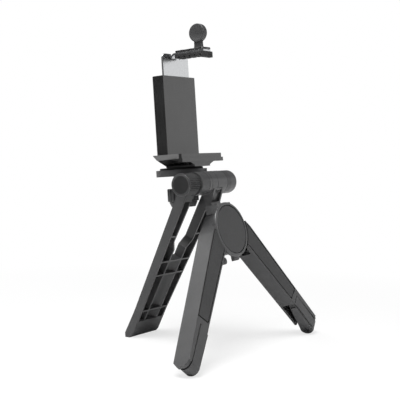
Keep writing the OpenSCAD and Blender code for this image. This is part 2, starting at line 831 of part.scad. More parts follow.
module tilt_knob() {
    color("black") at_barrel() difference() {
        union() {
            slab_x(knob_x0 + knob_rim_l / 2, knob_x1) knob_outline();
            rod_x(knob_rim_r, knob_x0, knob_x0 + knob_rim_l);
        }
        rod_x(knob_dish_r, knob_x0 - over, knob_x0 + knob_dish_depth);
        rod_x(tilt_bolt_r, tilt_bolt_x0, knob_x1 + over);
    }
}

module knob_washer() {
    color("black") at_barrel() difference() {
        rod_x(washer_r, washer_x0, washer_x1);
        rod_x(tilt_bolt_r + run_gap, washer_x0 - over, washer_x1 + over);
    }
}

module tilt_bolt() {
    color("silver") at_barrel() rod_x(tilt_bolt_r, tilt_bolt_x0, tilt_bolt_x1);
}

module tilt_nut() {
    color("silver") at_rear() difference() {
        translate([tilt_nut_x0, 0, 0]) rotate([0, 90, 0])
            cylinder(r=tilt_nut_r - seat_gap / 3, h=tilt_nut_l, $fn=6);
        rod_x(tilt_bolt_r + run_gap, tilt_nut_x0 - over, tilt_nut_x1 + over);
    }
}

module end_cap_profile() {
    square([barrel_r, end_cap_l + seat_gap - end_cap_round_r]);
    square([barrel_r - end_cap_round_r, end_cap_l + seat_gap]);
    translate([barrel_r - end_cap_round_r, end_cap_l + seat_gap - end_cap_round_r])
        circle(r=end_cap_round_r);
}

module barrel_end_cap() {
    color("dimgray") at_barrel() difference() {
        translate([end_cap_x0 - seat_gap, 0, 0]) rotate([0, 90, 0]) rotate_extrude() end_cap_profile();
        rod_x(cap_hollow_r, end_cap_x0 - over, end_cap_x0 + cap_hollow_l);
    }
}

// Head: a round platform on knuckles of the barrel, with the thumbwheel under it
module bracket_web(x0, x1) {
    rod_x(barrel_r, x0, x1);
    block(x0, x1, web_front, platform_y - boss_r / 2, web_low, platform_top - platform_t / 2);
}

module head_bracket() {
    color("dimgray") at_head() difference() {
        union() {
            difference() {
                translate([0, platform_y, 0]) rod_z(platform_r, platform_low, platform_top);
                rod_x(barrel_room, -platform_r, bracket_left_x0);
                rod_x(barrel_room, bracket_left_x1, bracket_right_x0);
                rod_x(barrel_room, bracket_right_x1, platform_r);
            }
            translate([0, platform_y, 0]) rod_z(boss_r, boss_low, platform_top);
            bracket_web(bracket_left_x0, bracket_left_x1);
            bracket_web(bracket_right_x0, bracket_right_x1);
        }
        rod_x(tilt_bolt_r + run_gap, bracket_left_x0 - over, bracket_right_x1 + over);
        translate([0, platform_y, 0]) {
            rod_z(screw_r + run_gap, boss_low - over, platform_top + over);
            rod_z(wheel_r + part_gap, wheel_low, wheel_top + wheel_gap);
        }
    }
}

module platform_pad() {
    color("black") at_head() translate([0, platform_y, 0]) difference() {
        rod_z(pad_r, platform_top, pad_high);
        rod_z(pad_bore_r + part_gap, platform_top - over, pad_high + over);
    }
}

module thumbwheel() {
    color("dimgray") at_head() translate([0, platform_y, 0]) difference() {
        intersection() {
            slab_z(wheel_low, wheel_top) difference() {
                circle(r=wheel_r);
                for (i = [0 : wheel_lobes - 1])
                    rotate(i * 360 / wheel_lobes) translate([wheel_r, 0]) circle(r=wheel_groove_r);
            }
            union() {
                rod_z(wheel_r, wheel_low + wheel_chamfer, wheel_top);
                translate([0, 0, wheel_low])
                    cylinder(r1=wheel_r - wheel_chamfer_in, r2=wheel_r, h=wheel_chamfer);
            }
        }
        rod_z(wheel_bore_r, screw_low, wheel_top + over);
    }
}

module camera_screw() {
    color("silver") at_head() translate([0, platform_y, 0]) rod_z(screw_r, screw_low, screw_top);
}

module screw_clip() {
    color("silver") at_head() translate([0, platform_y, 0]) difference() {
        rod_z(clip_r, platform_top + run_gap, platform_top + clip_t);
        rod_z(screw_r, platform_top - over, platform_top + clip_t + over);
        block(0, clip_r + over, -clip_slot_half, clip_slot_half, platform_top - over,
            platform_top + clip_t + over);
    }
}

// Phone clamp base: a hull that widens from its neck to the lower jaw
module hull_front_view() {
    polygon([[-hull_neck_half, hull_neck_z], [hull_neck_half, hull_neck_z],
        [hull_neck_half, hull_low_z], [hull_half - hull_end_w, hull_side_z], [hull_half, seat_z],
        [-hull_half, seat_z], [-hull_half + hull_end_w, hull_side_z], [-hull_neck_half, hull_low_z]]);
}

// Bar along the jaw's front, its lower band a step prouder than the rest
module jaw_bar() {
    block(-hull_half, hull_half, jaw_front + jaw_step, jaw_bar_back, jaw_bar_z, seat_z);
    block(-jaw_l / 2, jaw_l / 2, jaw_front, jaw_bar_back, jaw_bar_z, jaw_bar_z + jaw_band_h);
}

module clamp_body() {
    color("black") at_head() difference() {
        union() {
            slab_y(jaw_front + jaw_step, jaw_back - cover_t) hull_front_view();
            jaw_bar();
            block(-column_w / 2, column_w / 2, column_front, cover_front, seat_z - over, column_top);
        }
        // Hollow behind the column's front wall, for the slide plate and the springs
        block(-column_w / 2 + column_side, column_w / 2 - column_side, column_back, cover_front + over,
            floor_z, column_top + over);
        translate([0, platform_y, 0]) rod_z(insert_r, insert_low - over, insert_low + insert_l);
        for (side = [-1, 1]) translate([side * cover_screw_x, 0, cover_screw_z])
            rod_y(cover_screw_r, cover_front - cover_screw_l, cover_front + over);
        block(-jaw_pad_w / 2 - seat_gap, jaw_pad_w / 2 + seat_gap, jaw_bar_back, column_front,
            seat_z - jaw_pad_t, seat_z + over);
    }
    color("black") at_head() for (side = [-1, 1])
        translate([side * spring_x, spring_y, 0]) rod_z(post_r, floor_z - over, floor_z + post_l);
}

module thread_insert() {
    color("gold") at_head() translate([0, platform_y, 0]) difference() {
        rod_z(insert_r, insert_low, insert_low + insert_l);
        rod_z(screw_r + run_gap, insert_low - over, insert_low + insert_l + over);
    }
}

module lower_jaw_pad() {
    color("black") at_head()
        block(-jaw_pad_w / 2, jaw_pad_w / 2, jaw_bar_back, column_front,
            seat_z - jaw_pad_t, seat_z);
}

module clamp_back_cover() {
    color("black") at_head() difference() {
        union() {
            slab_y(cover_front, cover_back) {
                hull_front_view();
                translate([-column_w / 2, seat_z - over]) square([column_w, column_h + over]);
            }
            for (side = [0, 1]) mirror([side, 0, 0])
                block(rail_in, rail_out, slide_back + rail_gap, cover_front + over / 2, floor_z,
                    column_top - rail_top_gap);
        }
        for (side = [-1, 1]) translate([side * cover_screw_x, 0, cover_screw_z]) {
            rod_y(cover_screw_r, cover_front - over, cover_back + over);
            rod_y(cover_screw_head_r + seat_gap, cover_back - cover_screw_head_l, cover_back + over);
        }
    }
}

module cover_screw(side) {
    color("silver") at_head() translate([side * cover_screw_x, 0, cover_screw_z]) {
        rod_y(cover_screw_r, cover_front - cover_screw_l, cover_back - cover_screw_head_l);
        rod_y(cover_screw_head_r, cover_back - cover_screw_head_l, cover_back);
    }
}

// Slide plate: one chromed sheet, its middle tongue bent forward over the phone
module slide_sheet() {
    difference() {
        union() {
            translate([-slide_w / 2, slide_low])
                square([slide_w, slide_shoulder_z - slide_corner_r - slide_low]);
            translate([-slide_w / 2 + slide_corner_r, slide_low])
                square([slide_w - 2 * slide_corner_r, slide_shoulder_z - slide_low]);
            for (side = [-1, 1])
                translate([side * (slide_w / 2 - slide_corner_r), slide_shoulder_z - slide_corner_r])
                    circle(r=slide_corner_r);
        }
        translate([-tongue_half - tongue_slit, tongue_high - slide_bend_r])
            square([2 * (tongue_half + tongue_slit), slide_bend_r + over]);
    }
}

module tongue_side_view() {
    translate([tongue_front, tongue_low])
        square([slide_back - slide_bend_r - tongue_front, slide_t]);
    intersection() {
        translate([slide_back - slide_bend_r, tongue_high - slide_bend_r]) difference() {
            circle(r=slide_bend_r);
            circle(r=slide_bend_r - slide_t);
        }
        translate([slide_back - slide_bend_r, tongue_high - slide_bend_r])
            square([slide_bend_r, slide_bend_r]);
    }
}

module slide_plate() {
    color("silver") at_head() {
        slab_y(slide_front, slide_back) slide_sheet();
        difference() {
            slab_x(-tongue_half, tongue_half) tongue_side_view();
            for (y = [rivet_front_y, rivet_back_y])
                translate([0, y, 0]) rod_z(rivet_r, tongue_low - over, tongue_high + over);
        }
        for (side = [-1, 1]) translate([side * spring_x, 0, 0]) {
            block(-lug_half, lug_half, slide_back - slide_t / 2, lug_back, lug_low, lug_low + lug_t);
            translate([0, spring_y, 0]) rod_z(post_r, lug_low - post_l, lug_low + lug_t / 2);
        }
    }
}

// Spring: one tube that follows a helix between the clamp's floor and the slide's lug
module spring() {
    steps = spring_curls * spring_rings;
    side_angle = 360 / spring_sides;
    points = [for (i = [0 : steps], k = [0 : spring_sides - 1])
        let (turn = i * 360 / spring_rings,
            reach = spring_r + spring_wire_r * cos(k * side_angle),
            rise = spring_z0 + i * spring_pitch / spring_rings + spring_wire_r * sin(k * side_angle))
        [reach * cos(turn), reach * sin(turn), rise]];
    sides = [for (i = [0 : steps - 1], k = [0 : spring_sides - 1])
        let (next = (k + 1) % spring_sides)
        [i * spring_sides + k, (i + 1) * spring_sides + k, (i + 1) * spring_sides + next,
            i * spring_sides + next]];
    start = [[for (k = [0 : spring_sides - 1]) k]];
    end = [[for (k = [spring_sides - 1 : -1 : 0]) steps * spring_sides + k]];
    polyhedron(points=points, faces=concat(sides, start, end));
}

module left_jaw_spring() color("silver") at_head() translate([-spring_x, spring_y, 0]) spring();
module right_jaw_spring() color("silver") at_head() translate([spring_x, spring_y, 0]) spring();

// Upper jaw: a ribbed rubber pad under the tongue, a thin cap over it and the pull tab
module upper_jaw_pad() {
    half = upper_w / 2;
    color("black") at_head() difference() {
        union() {
            block(-half, half, upper_front, upper_back_y, phone_top_z + upper_tooth_h, tongue_low);
            for (i = [0 : upper_teeth - 1])
                block(-half, half, upper_teeth_front + i * upper_tooth_pitch + upper_tooth_gap,
                    upper_teeth_front + (i + 1) * upper_tooth_pitch,
                    phone_top_z, tongue_low - upper_tooth_h / 2);
            block(-half, half, upper_front, upper_teeth_front, phone_top_z - upper_lip_h,
                tongue_low - upper_tooth_h / 2);
        }
        for (y = [rivet_front_y, rivet_back_y]) translate([0, y, 0]) rod_z(rivet_r, rivet_low, tongue_high);
    }
}

module upper_jaw_cap() {
    color("black") at_head() difference() {
        block(-upper_w / 2, upper_w / 2, upper_front, upper_back_y, tongue_high, upper_cap_high);
        for (y = [rivet_front_y, rivet_back_y])
            translate([0, y, 0]) rod_z(rivet_r, tongue_low, upper_cap_high + over);
    }
}

module jaw_rivet(y) {
    color("silver") at_head() translate([0, y, 0]) {
        rod_z(rivet_r, rivet_low, upper_cap_high);
        rod_z(rivet_head_r, upper_cap_high, upper_cap_high + rivet_head_l);
    }
}

module pull_tab() {
    color("black") at_head() translate([0, tab_y, 0]) difference() {
        union() {
            block(-tab_stem_t / 2, tab_stem_t / 2, -tab_stem_w / 2, tab_stem_w / 2, upper_cap_high, tab_z);
            translate([0, 0, tab_z]) rod_x(tab_r, -tab_t / 2, tab_t / 2);
        }
        for (side = [-1, 1])
            translate([side * (tab_t / 2 + tab_dish_r - tab_dish_depth), 0, tab_z]) sphere(r=tab_dish_r);
    }
}

hub_frame();
hub_cap();
hub_retainer();
leg_hinge_bolt();
leg_hinge_nut();
leg_wave_washer();
left_leg();
right_leg();
left_grip_panel();
right_grip_panel();
left_foot_arm();
right_foot_arm();
left_foot_screw();
right_foot_screw();
rear_leg();
tilt_knob();
knob_washer();
tilt_bolt();
tilt_nut();
barrel_end_cap();
head_bracket();
platform_pad();
thumbwheel();
camera_screw();
screw_clip();
clamp_body();
thread_insert();
lower_jaw_pad();
clamp_back_cover();
cover_screw(-1);  // left_cover_screw
cover_screw(1);  // right_cover_screw
slide_plate();
left_jaw_spring();
right_jaw_spring();
upper_jaw_pad();
upper_jaw_cap();
jaw_rivet(rivet_front_y);  // front_jaw_rivet
jaw_rivet(rivet_back_y);  // back_jaw_rivet
pull_tab();
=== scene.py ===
"""Looks of a small folding phone tripod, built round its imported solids.

Pieces are worked out in millimetres in their own sub-assembly's axes, then placed in
the part's frame in metres: X along the barrel, Y to the back, Z up, the ground at 0.
"""

import json
import logging
import math
from dataclasses import dataclass
from enum import Enum

import bmesh
import bpy
import numpy as np
from mathutils import Matrix, Vector
from numpy.typing import NDArray

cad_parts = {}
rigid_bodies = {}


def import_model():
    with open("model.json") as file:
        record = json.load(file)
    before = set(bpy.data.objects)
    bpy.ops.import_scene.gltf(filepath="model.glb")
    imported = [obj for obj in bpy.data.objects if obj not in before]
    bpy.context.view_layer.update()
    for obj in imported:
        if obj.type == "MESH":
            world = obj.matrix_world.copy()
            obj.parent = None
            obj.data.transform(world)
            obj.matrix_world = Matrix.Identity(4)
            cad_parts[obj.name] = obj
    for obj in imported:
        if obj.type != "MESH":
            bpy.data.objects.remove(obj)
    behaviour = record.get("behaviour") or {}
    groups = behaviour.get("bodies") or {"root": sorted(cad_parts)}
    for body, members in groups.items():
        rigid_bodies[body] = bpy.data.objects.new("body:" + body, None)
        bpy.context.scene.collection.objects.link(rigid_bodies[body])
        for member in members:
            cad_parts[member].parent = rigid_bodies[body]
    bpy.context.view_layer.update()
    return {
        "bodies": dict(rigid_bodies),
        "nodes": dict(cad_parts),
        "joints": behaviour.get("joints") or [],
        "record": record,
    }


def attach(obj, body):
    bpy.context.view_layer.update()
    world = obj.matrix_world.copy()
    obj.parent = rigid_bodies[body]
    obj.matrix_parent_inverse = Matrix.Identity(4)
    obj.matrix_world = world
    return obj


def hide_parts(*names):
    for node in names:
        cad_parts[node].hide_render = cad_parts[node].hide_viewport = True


Array = NDArray[np.float64]
MM = 0.001
MERGE = 2e-6
NO_LENGTH = 1e-7
NO_EDGE = 1e-12
NO_BEND = 1e-9
LOG = logging.getLogger("tripod")


class Slot(Enum):
    """The record's material slots, passed along with each new piece."""

    PLASTIC = "black_plastic"
    GLOSS = "black_gloss"
    RUBBER = "black_rubber"
    STEEL = "steel"


class Side(Enum):
    """Which of a mirrored pair a piece is; the value is its sign along X."""

    LEFT = -1
    RIGHT = 1

    @property
    def word(self) -> str:
        """The side's name as the solids' names use it."""
        return self.name.lower()


# Placing


def turned_about_x(degrees: float) -> Array:
    """The 3 by 3 turn about X."""
    c, s = math.cos(math.radians(degrees)), math.sin(math.radians(degrees))
    return np.array([[1, 0, 0], [0, c, -s], [0, s, c]], float)


def turned_about_y(degrees: float) -> Array:
    """The 3 by 3 turn about Y."""
    c, s = math.cos(math.radians(degrees)), math.sin(math.radians(degrees))
    return np.array([[c, 0, s], [0, 1, 0], [-s, 0, c]], float)


@dataclass(frozen=True)
class Place:
    """Where a sub-assembly's own axes stand in the part's frame, in millimetres."""

    turn: Array
    origin: Array

    def world(self, points: Array) -> Array:
        """Own millimetres to the part's metres: turn, shift, scale."""
        return (points @ self.turn.T + self.origin) * MM

    def turned(self, turn: Array) -> "Place":
        """The same origin with its axes turned further."""
        return Place(self.turn @ turn, self.origin)


@dataclass(frozen=True)
class Stance:
    """The tripod's stance, as the solids have it."""

    barrel_y: float = -6.0
    barrel_z: float = 99.6
    hub_lean: float = 18.4
    hub_drop: float = 30.8
    leg_spread: float = 42.1
    head_tilt: float = 5.8

    def barrel(self) -> Place:
        """Axes at the barrel's middle."""
        return Place(np.eye(3), np.array([0, self.barrel_y, self.barrel_z]))

    def hub(self) -> Place:
        """Axes at the hub's middle, Y along its bolt."""
        lean = turned_about_x(-self.hub_lean)
        return Place(lean, self.barrel().origin + lean @ np.array([0, 0, -self.hub_drop]))

    def head(self) -> Place:
        """Axes of the tilted head."""
        return self.barrel().turned(turned_about_x(-self.head_tilt))

    def leg(self, side: Side) -> Place:
        """Axes of one front leg; the left leg's X runs to the left."""
        flip = np.diag([float(side.value), 1, 1])
        return self.hub().turned(flip @ turned_about_y(-self.leg_spread))


STANCE = Stance()


# Surfaces


def arc(
    centre: tuple[float, float], radius: float, start: float, end: float, count: int
) -> Array:
    """Points on a circle from one angle to another, in degrees: centre + r (cos a, sin a)."""
    a = np.radians(np.linspace(start, end, count))
    return np.stack([centre[0] + radius * np.cos(a), centre[1] + radius * np.sin(a)], 1)


def rounded(corners: Array, radius: float | Array, count: int = 5) -> Array:
    """A closed outline with its corners rounded.

    At each corner the two tangent points lie r / tan(half angle) along its edges, and the
    arc between them is the circle of radius r about the point on the corner's bisector.

    Args:
        corners: The outline's corners, n by 2, anticlockwise.
        radius: One radius, or one for each corner.
        count: Points on each corner's arc.

    Returns:
        The outline, n * count by 2.
    """
    before = np.roll(corners, 1, 0) - corners
    after = np.roll(corners, -1, 0) - corners
    before /= np.linalg.norm(before, axis=1, keepdims=True)
    after /= np.linalg.norm(after, axis=1, keepdims=True)
    r = np.broadcast_to(np.asarray(radius, float), (len(corners),))[:, None]
    half = np.arccos(np.clip((before * after).sum(1), -1, 1))[:, None] / 2
    middle = before + after
    middle /= np.maximum(np.linalg.norm(middle, axis=1, keepdims=True), NO_BEND)
    centre = corners + middle * r / np.sin(half)
    first = corners + before * r / np.tan(half) - centre
    last = corners + after * r / np.tan(half) - centre
    a0 = np.arctan2(first[:, 1], first[:, 0])
    a1 = np.arctan2(last[:, 1], last[:, 0])
    sweep = (a1 - a0 + np.pi) % (2 * np.pi) - np.pi
    a = a0[:, None] + sweep[:, None] * np.linspace(0, 1, count)[None, :]
    x = centre[:, :1] + r * np.cos(a)
    y = centre[:, 1:] + r * np.sin(a)
    return np.stack([x, y], 2).reshape(-1, 2)


def inset(outline: Array, distance: float, share_least: float = 0.3) -> Array:
    """An outline moved inwards: each point by d (n1 + n2) / (1 + n1.n2) of its edges' normals.

    Args:
        outline: The closed outline, n by 2, anticlockwise.
        distance: How far each edge moves in.
        share_least: The least divisor, which holds the move back at a sharp corner.

    Returns:
        The smaller outline, n by 2.
    """
    edge = np.roll(outline, -1, 0) - outline
    edge /= np.maximum(np.linalg.norm(edge, axis=1, keepdims=True), NO_EDGE)
    normal = np.stack([-edge[:, 1], edge[:, 0]], 1)
    earlier = np.roll(normal, 1, 0)
    share = 1 + (normal * earlier).sum(1, keepdims=True)
    return outline + distance * (normal + earlier) / np.maximum(share, share_least)


class Surface:
    """Grids of points gathered into one mesh."""

    def __init__(self) -> None:
        """Starts with no points."""
        self.points: list[Array] = []
        self.faces: list[list[int]] = []
        self.count = 0

    def grid(self, points: Array, ring: bool = False, caps: bool = False) -> "Surface":
        """Adds a grid of quads, each of whose rows closes on itself.

        Args:
            points: Rows by columns by 3.
            ring: Whether the last row joins the first.
            caps: Whether the first and last rows are filled with a face each.

        Returns:
            This surface.
        """
        rows, columns = points.shape[:2]
        i = np.arange(rows if ring else rows - 1)[:, None]
        j = np.arange(columns)[None, :]
        i1, j1 = (i + 1) % rows, (j + 1) % columns
        here, there = self.count + i * columns, self.count + i1 * columns
        quads = np.stack([here + j, here + j1, there + j1, there + j], 2)
        self.faces += quads.reshape(-1, 4).tolist()
        if caps:
            first = np.arange(columns) + self.count
            self.faces += [first[::-1].tolist(), (first + (rows - 1) * columns).tolist()]
        self.points.append(points.reshape(-1, 3))
        self.count += rows * columns
        return self

    def build(self, name: str, place: Place, smooth: float = 35.0) -> bpy.types.Object:
        """Makes the object: points placed, doubles merged, normals outwards.

        Args:
            name: The piece's name.
            place: The axes its points are given in.
            smooth: Edges sharper than this many degrees stay sharp.

        Returns:
            The object, at the origin and unturned.
        """
        mesh = bpy.data.meshes.new(name)
        mesh.from_pydata(place.world(np.concatenate(self.points)).tolist(), [], self.faces)
        body = bmesh.new()
        body.from_mesh(mesh)
        bmesh.ops.remove_doubles(body, verts=body.verts, dist=MERGE)
        bmesh.ops.dissolve_degenerate(body, edges=body.edges, dist=NO_LENGTH)
        bmesh.ops.recalc_face_normals(body, faces=body.faces)
        body.to_mesh(mesh)
        body.free()
        mesh.shade_smooth()
        mesh.set_sharp_from_angle(angle=math.radians(smooth))
        made = bpy.data.objects.new(name, mesh)
        bpy.context.scene.collection.objects.link(made)
        return made


class Axis(Enum):
    """The direction that a turned or extruded form runs along."""

    X = 0
    Y = 1
    Z = 2

    def lay(self, across: Array, up: Array, along: Array) -> Array:
        """Points from two cross directions and the run, right handed."""
        order = {
            Axis.X: (along, across, up),
            Axis.Y: (up, along, across),
            Axis.Z: (across, up, along),
        }
        return np.stack(np.broadcast_arrays(*order[self]), -1)

    def turn(self, radius: Array, angle: Array, run: Array) -> Array:
        """Points round this axis: (r cos a, r sin a, h)."""
        return self.lay(radius * np.cos(angle), radius * np.sin(angle), run + 0 * angle)


def round_angles(count: int) -> Array:
    """Angles once round, as one row."""
    return np.linspace(0, 2 * np.pi, count, endpoint=False)[None, :]


def lathe(
    profile: Array, axis: Axis, segments: int = 96, at: tuple[float, float, float] = (0, 0, 0)
) -> Array:
    """A turned form: (r cos a, r sin a, h) for each (r, h) of the profile.

    Args:
        profile: Radius and run, n by 2, from one end of the axis to the other.
        axis: The direction of the turning axis.
        segments: Points round the axis.
        at: A point on the axis.

    Returns:
        A grid of points, profile by segments by 3.
    """
    return axis.turn(profile[:, :1], round_angles(segments), profile[:, 1:]) + np.array(at, float)


def plate(
    outline: Array, low: float, high: float, edge: float, axis: Axis, steps: int = 4
) -> Array:
    """An extruded outline with round edges.

    The outline is moved in by e (1 - cos t) where its height is e (1 - sin t) from either
    face, t from 0 to a right angle.

    Args:
        outline: The closed outline, n by 2, anticlockwise, in the axis's two cross directions.
        low: Start along the axis.
        high: End along the axis.
        edge: Radius of the round edges.
        axis: Direction of the run.
        steps: Steps of each round edge.

    Returns:
        A grid of points, rows by n by 3.
    """
    t = np.linspace(np.pi / 2, 0, steps + 1)
    inwards = edge * (1 - np.cos(t))
    rise = edge * (1 - np.sin(t))
    rows = [inset(outline, d) for d in np.concatenate([inwards, inwards[::-1]])]
    runs = np.concatenate([low + rise, high - rise[::-1]])
    flat = np.stack(rows)
    return axis.lay(flat[:, :, 0], flat[:, :, 1], runs[:, None] + 0 * flat[:, :, 0])


UPRIGHT = np.array([0.0, 0.0, 1.0])
LEVEL = np.array([1.0, 0.13, 0.0])
NEARLY_UPRIGHT = 0.9


def tube(path: Array, radius: float | Array, sides: int = 12) -> Array:
    """A round tube along a path: p + r (n cos a + b sin a).

    The first normal is any one square to the path's start; each later one is the first
    with its part along the tangent taken away, so it suits paths that do not turn back.

    Args:
        path: Points along the middle, n by 3.
        radius: The tube's radius, or one for each point.
        sides: Points round the tube.

    Returns:
        A grid of points, n by sides by 3.
    """
    tangent = np.gradient(path, axis=0)
    tangent /= np.linalg.norm(tangent, axis=1, keepdims=True)
    away = UPRIGHT if abs(tangent[:, 2]).max() < NEARLY_UPRIGHT else LEVEL
    normal = np.cross(tangent, away)
    normal /= np.linalg.norm(normal, axis=1, keepdims=True)
    other = np.cross(tangent, normal)
    a = round_angles(sides)[:, :, None]
    r = np.broadcast_to(np.asarray(radius, float), (len(path),))[:, None, None]
    way = normal[:, None, :] * np.cos(a) + other[:, None, :] * np.sin(a)
    return path[:, None, :] + r * way


# Finishes


class Graph:
    """A short way to add and join a material's nodes."""

    def __init__(self, name: str) -> None:
        """Makes the material with its shader and output."""
        self.material = bpy.data.materials.new(name)
        self.material.use_nodes = True
        self.tree = self.material.node_tree
        self.shader = self.tree.nodes["Principled BSDF"]
        self.coordinates = self.tree.nodes.new("ShaderNodeTexCoord").outputs["Object"]

    def link(self, out: bpy.types.NodeSocket, into: bpy.types.NodeSocket) -> None:
        """Joins one socket to another."""
        self.tree.links.new(out, into)

    def coat(self, colour: bpy.types.NodeSocket, roughness: bpy.types.NodeSocket) -> None:
        """Gives the shader its colour and roughness."""
        self.link(colour, self.shader.inputs["Base Color"])
        self.link(roughness, self.shader.inputs["Roughness"])

    def noise(
        self, scale: float, detail: float = 3.0, stretch: tuple[float, float, float] = (1, 1, 1)
    ) -> bpy.types.NodeSocket:
        """A noise in object space; stretch scales its coordinates."""
        mapping = self.tree.nodes.new("ShaderNodeMapping")
        mapping.inputs["Scale"].default_value = stretch
        self.link(self.coordinates, mapping.inputs["Vector"])
        noise = self.tree.nodes.new("ShaderNodeTexNoise")
        noise.inputs["Scale"].default_value = scale
        noise.inputs["Detail"].default_value = detail
        self.link(mapping.outputs["Vector"], noise.inputs["Vector"])
        return noise.outputs["Fac"]

    def cells(self, scale: float) -> bpy.types.NodeSocket:
        """Distance to the nearest cell point, for a pebbled grain."""
        cells = self.tree.nodes.new("ShaderNodeTexVoronoi")
        cells.feature = "SMOOTH_F1"
        cells.inputs["Scale"].default_value = scale
        cells.inputs["Smoothness"].default_value = 0.6
        self.link(self.coordinates, cells.inputs["Vector"])
        return cells.outputs["Distance"]

    def spread(
        self,
        value: bpy.types.NodeSocket,
        low: float,
        high: float,
        start: float = 0.3,
        end: float = 0.7,
    ) -> bpy.types.NodeSocket:
        """Maps a value's start-to-end span to low and high."""
        mapped = self.tree.nodes.new("ShaderNodeMapRange")
        mapped.inputs["From Min"].default_value = start
        mapped.inputs["From Max"].default_value = end
        mapped.inputs["To Min"].default_value = low
        mapped.inputs["To Max"].default_value = high
        self.link(value, mapped.inputs["Value"])
        return mapped.outputs["Result"]

    def blend(
        self,
        share: bpy.types.NodeSocket,
        first: tuple[float, float, float],
        second: tuple[float, float, float],
    ) -> bpy.types.NodeSocket:
        """Two colours mixed by a share."""
        mix = self.tree.nodes.new("ShaderNodeMix")
        mix.data_type = "RGBA"
        mix.inputs["A"].default_value = (*first, 1)
        mix.inputs["B"].default_value = (*second, 1)
        self.link(share, mix.inputs["Factor"])
        return mix.outputs["Result"]

    def bump(
        self,
        height: bpy.types.NodeSocket,
        depth: float,
        strength: float,
        below: bpy.types.NodeSocket | None = None,
    ) -> bpy.types.NodeSocket:
        """A bump of a depth in metres, over another bump's normal if one is given."""
        bump = self.tree.nodes.new("ShaderNodeBump")
        bump.inputs["Distance"].default_value = depth
        bump.inputs["Strength"].default_value = strength
        self.link(height, bump.inputs["Height"])
        if below is not None:
            self.link(below, bump.inputs["Normal"])
        return bump.outputs["Normal"]


@dataclass(frozen=True)
class MouldedPlastic:
    """Black moulded plastic with a fine spark-worn grain.

    The colour drifts by a few hundredths between two near blacks, the roughness drifts
    with a broad noise, and the bump adds a fine pebble to a broad unevenness.
    """

    name: str
    dark: float = 0.040
    light: float = 0.052
    rough_low: float = 0.40
    rough_high: float = 0.52
    grain: float = 2600.0
    grain_depth: float = 0.00003
    grain_strength: float = 0.5
    drift: float = 60.0
    fine: float = 900.0
    wave_depth: float = 0.0002
    wave_strength: float = 0.12
    shine: float = 0.5

    def material(self) -> bpy.types.Material:
        """Builds the material."""
        graph = Graph(self.name)
        drift = graph.noise(self.drift, detail=4)
        fine = graph.noise(self.fine, detail=5)
        base = graph.blend(
            graph.spread(drift, 0, 1),
            (self.dark, self.dark, self.dark * 1.03),
            (self.light, self.light, self.light * 1.02),
        )
        graph.coat(base, graph.spread(fine, self.rough_low, self.rough_high))
        graph.shader.inputs["Specular IOR Level"].default_value = self.shine
        broad = graph.bump(drift, self.wave_depth, self.wave_strength)
        pebble = graph.bump(graph.cells(self.grain), self.grain_depth, self.grain_strength, broad)
        graph.link(pebble, graph.shader.inputs["Normal"])
        return graph.material


@dataclass(frozen=True)
class GlossPlastic:
    """Glossy black plastic with faint rub marks and a slight sink unevenness."""

    name: str
    dark: float = 0.014
    light: float = 0.02
    rough_low: float = 0.12
    rough_high: float = 0.22
    sink: float = 45.0
    sink_depth: float = 0.0003
    sink_strength: float = 0.12
    rubs: float = 350.0
    rub_stretch: tuple[float, float, float] = (1, 1, 0.16)
    rub_depth: float = 0.00001
    rub_strength: float = 0.1
    coat: float = 0.25
    coat_rough: float = 0.08

    def material(self) -> bpy.types.Material:
        """Builds the material: rub marks are a noise stretched six to one."""
        graph = Graph(self.name)
        sink = graph.noise(self.sink, detail=2)
        rubs = graph.noise(self.rubs, detail=6, stretch=self.rub_stretch)
        base = graph.blend(graph.spread(sink, 0, 1), (self.dark,) * 3, (self.light,) * 3)
        graph.coat(base, graph.spread(rubs, self.rough_low, self.rough_high))
        graph.shader.inputs["Coat Weight"].default_value = self.coat
        graph.shader.inputs["Coat Roughness"].default_value = self.coat_rough
        broad = graph.bump(sink, self.sink_depth, self.sink_strength)
        marks = graph.bump(rubs, self.rub_depth, self.rub_strength, broad)
        graph.link(marks, graph.shader.inputs["Normal"])
        return graph.material


@dataclass(frozen=True)
class Rubber:
    """Matt black rubber with a dusty bloom."""

    name: str
    dark: float = 0.022
    bloom: float = 0.045
    bloom_start: float = 0.45
    bloom_end: float = 0.75
    rough_low: float = 0.68
    rough_high: float = 0.86
    dust: float = 420.0
    dust_depth: float = 0.00004
    dust_strength: float = 0.3
    grain: float = 3200.0
    grain_depth: float = 0.00003
    grain_strength: float = 0.45
    shine: float = 0.35

    def material(self) -> bpy.types.Material:
        """Builds the material: the bloom gathers where a fine noise is high."""
        graph = Graph(self.name)
        dust = graph.noise(self.dust, detail=7)
        gathered = graph.spread(dust, 0, 1, self.bloom_start, self.bloom_end)
        base = graph.blend(gathered, (self.dark,) * 3, (self.bloom,) * 3)
        graph.coat(base, graph.spread(dust, self.rough_low, self.rough_high))
        graph.shader.inputs["Specular IOR Level"].default_value = self.shine
        fine = graph.bump(graph.cells(self.grain), self.grain_depth, self.grain_strength)
        coarse = graph.bump(dust, self.dust_depth, self.dust_strength, fine)
        graph.link(coarse, graph.shader.inputs["Normal"])
        return graph.material


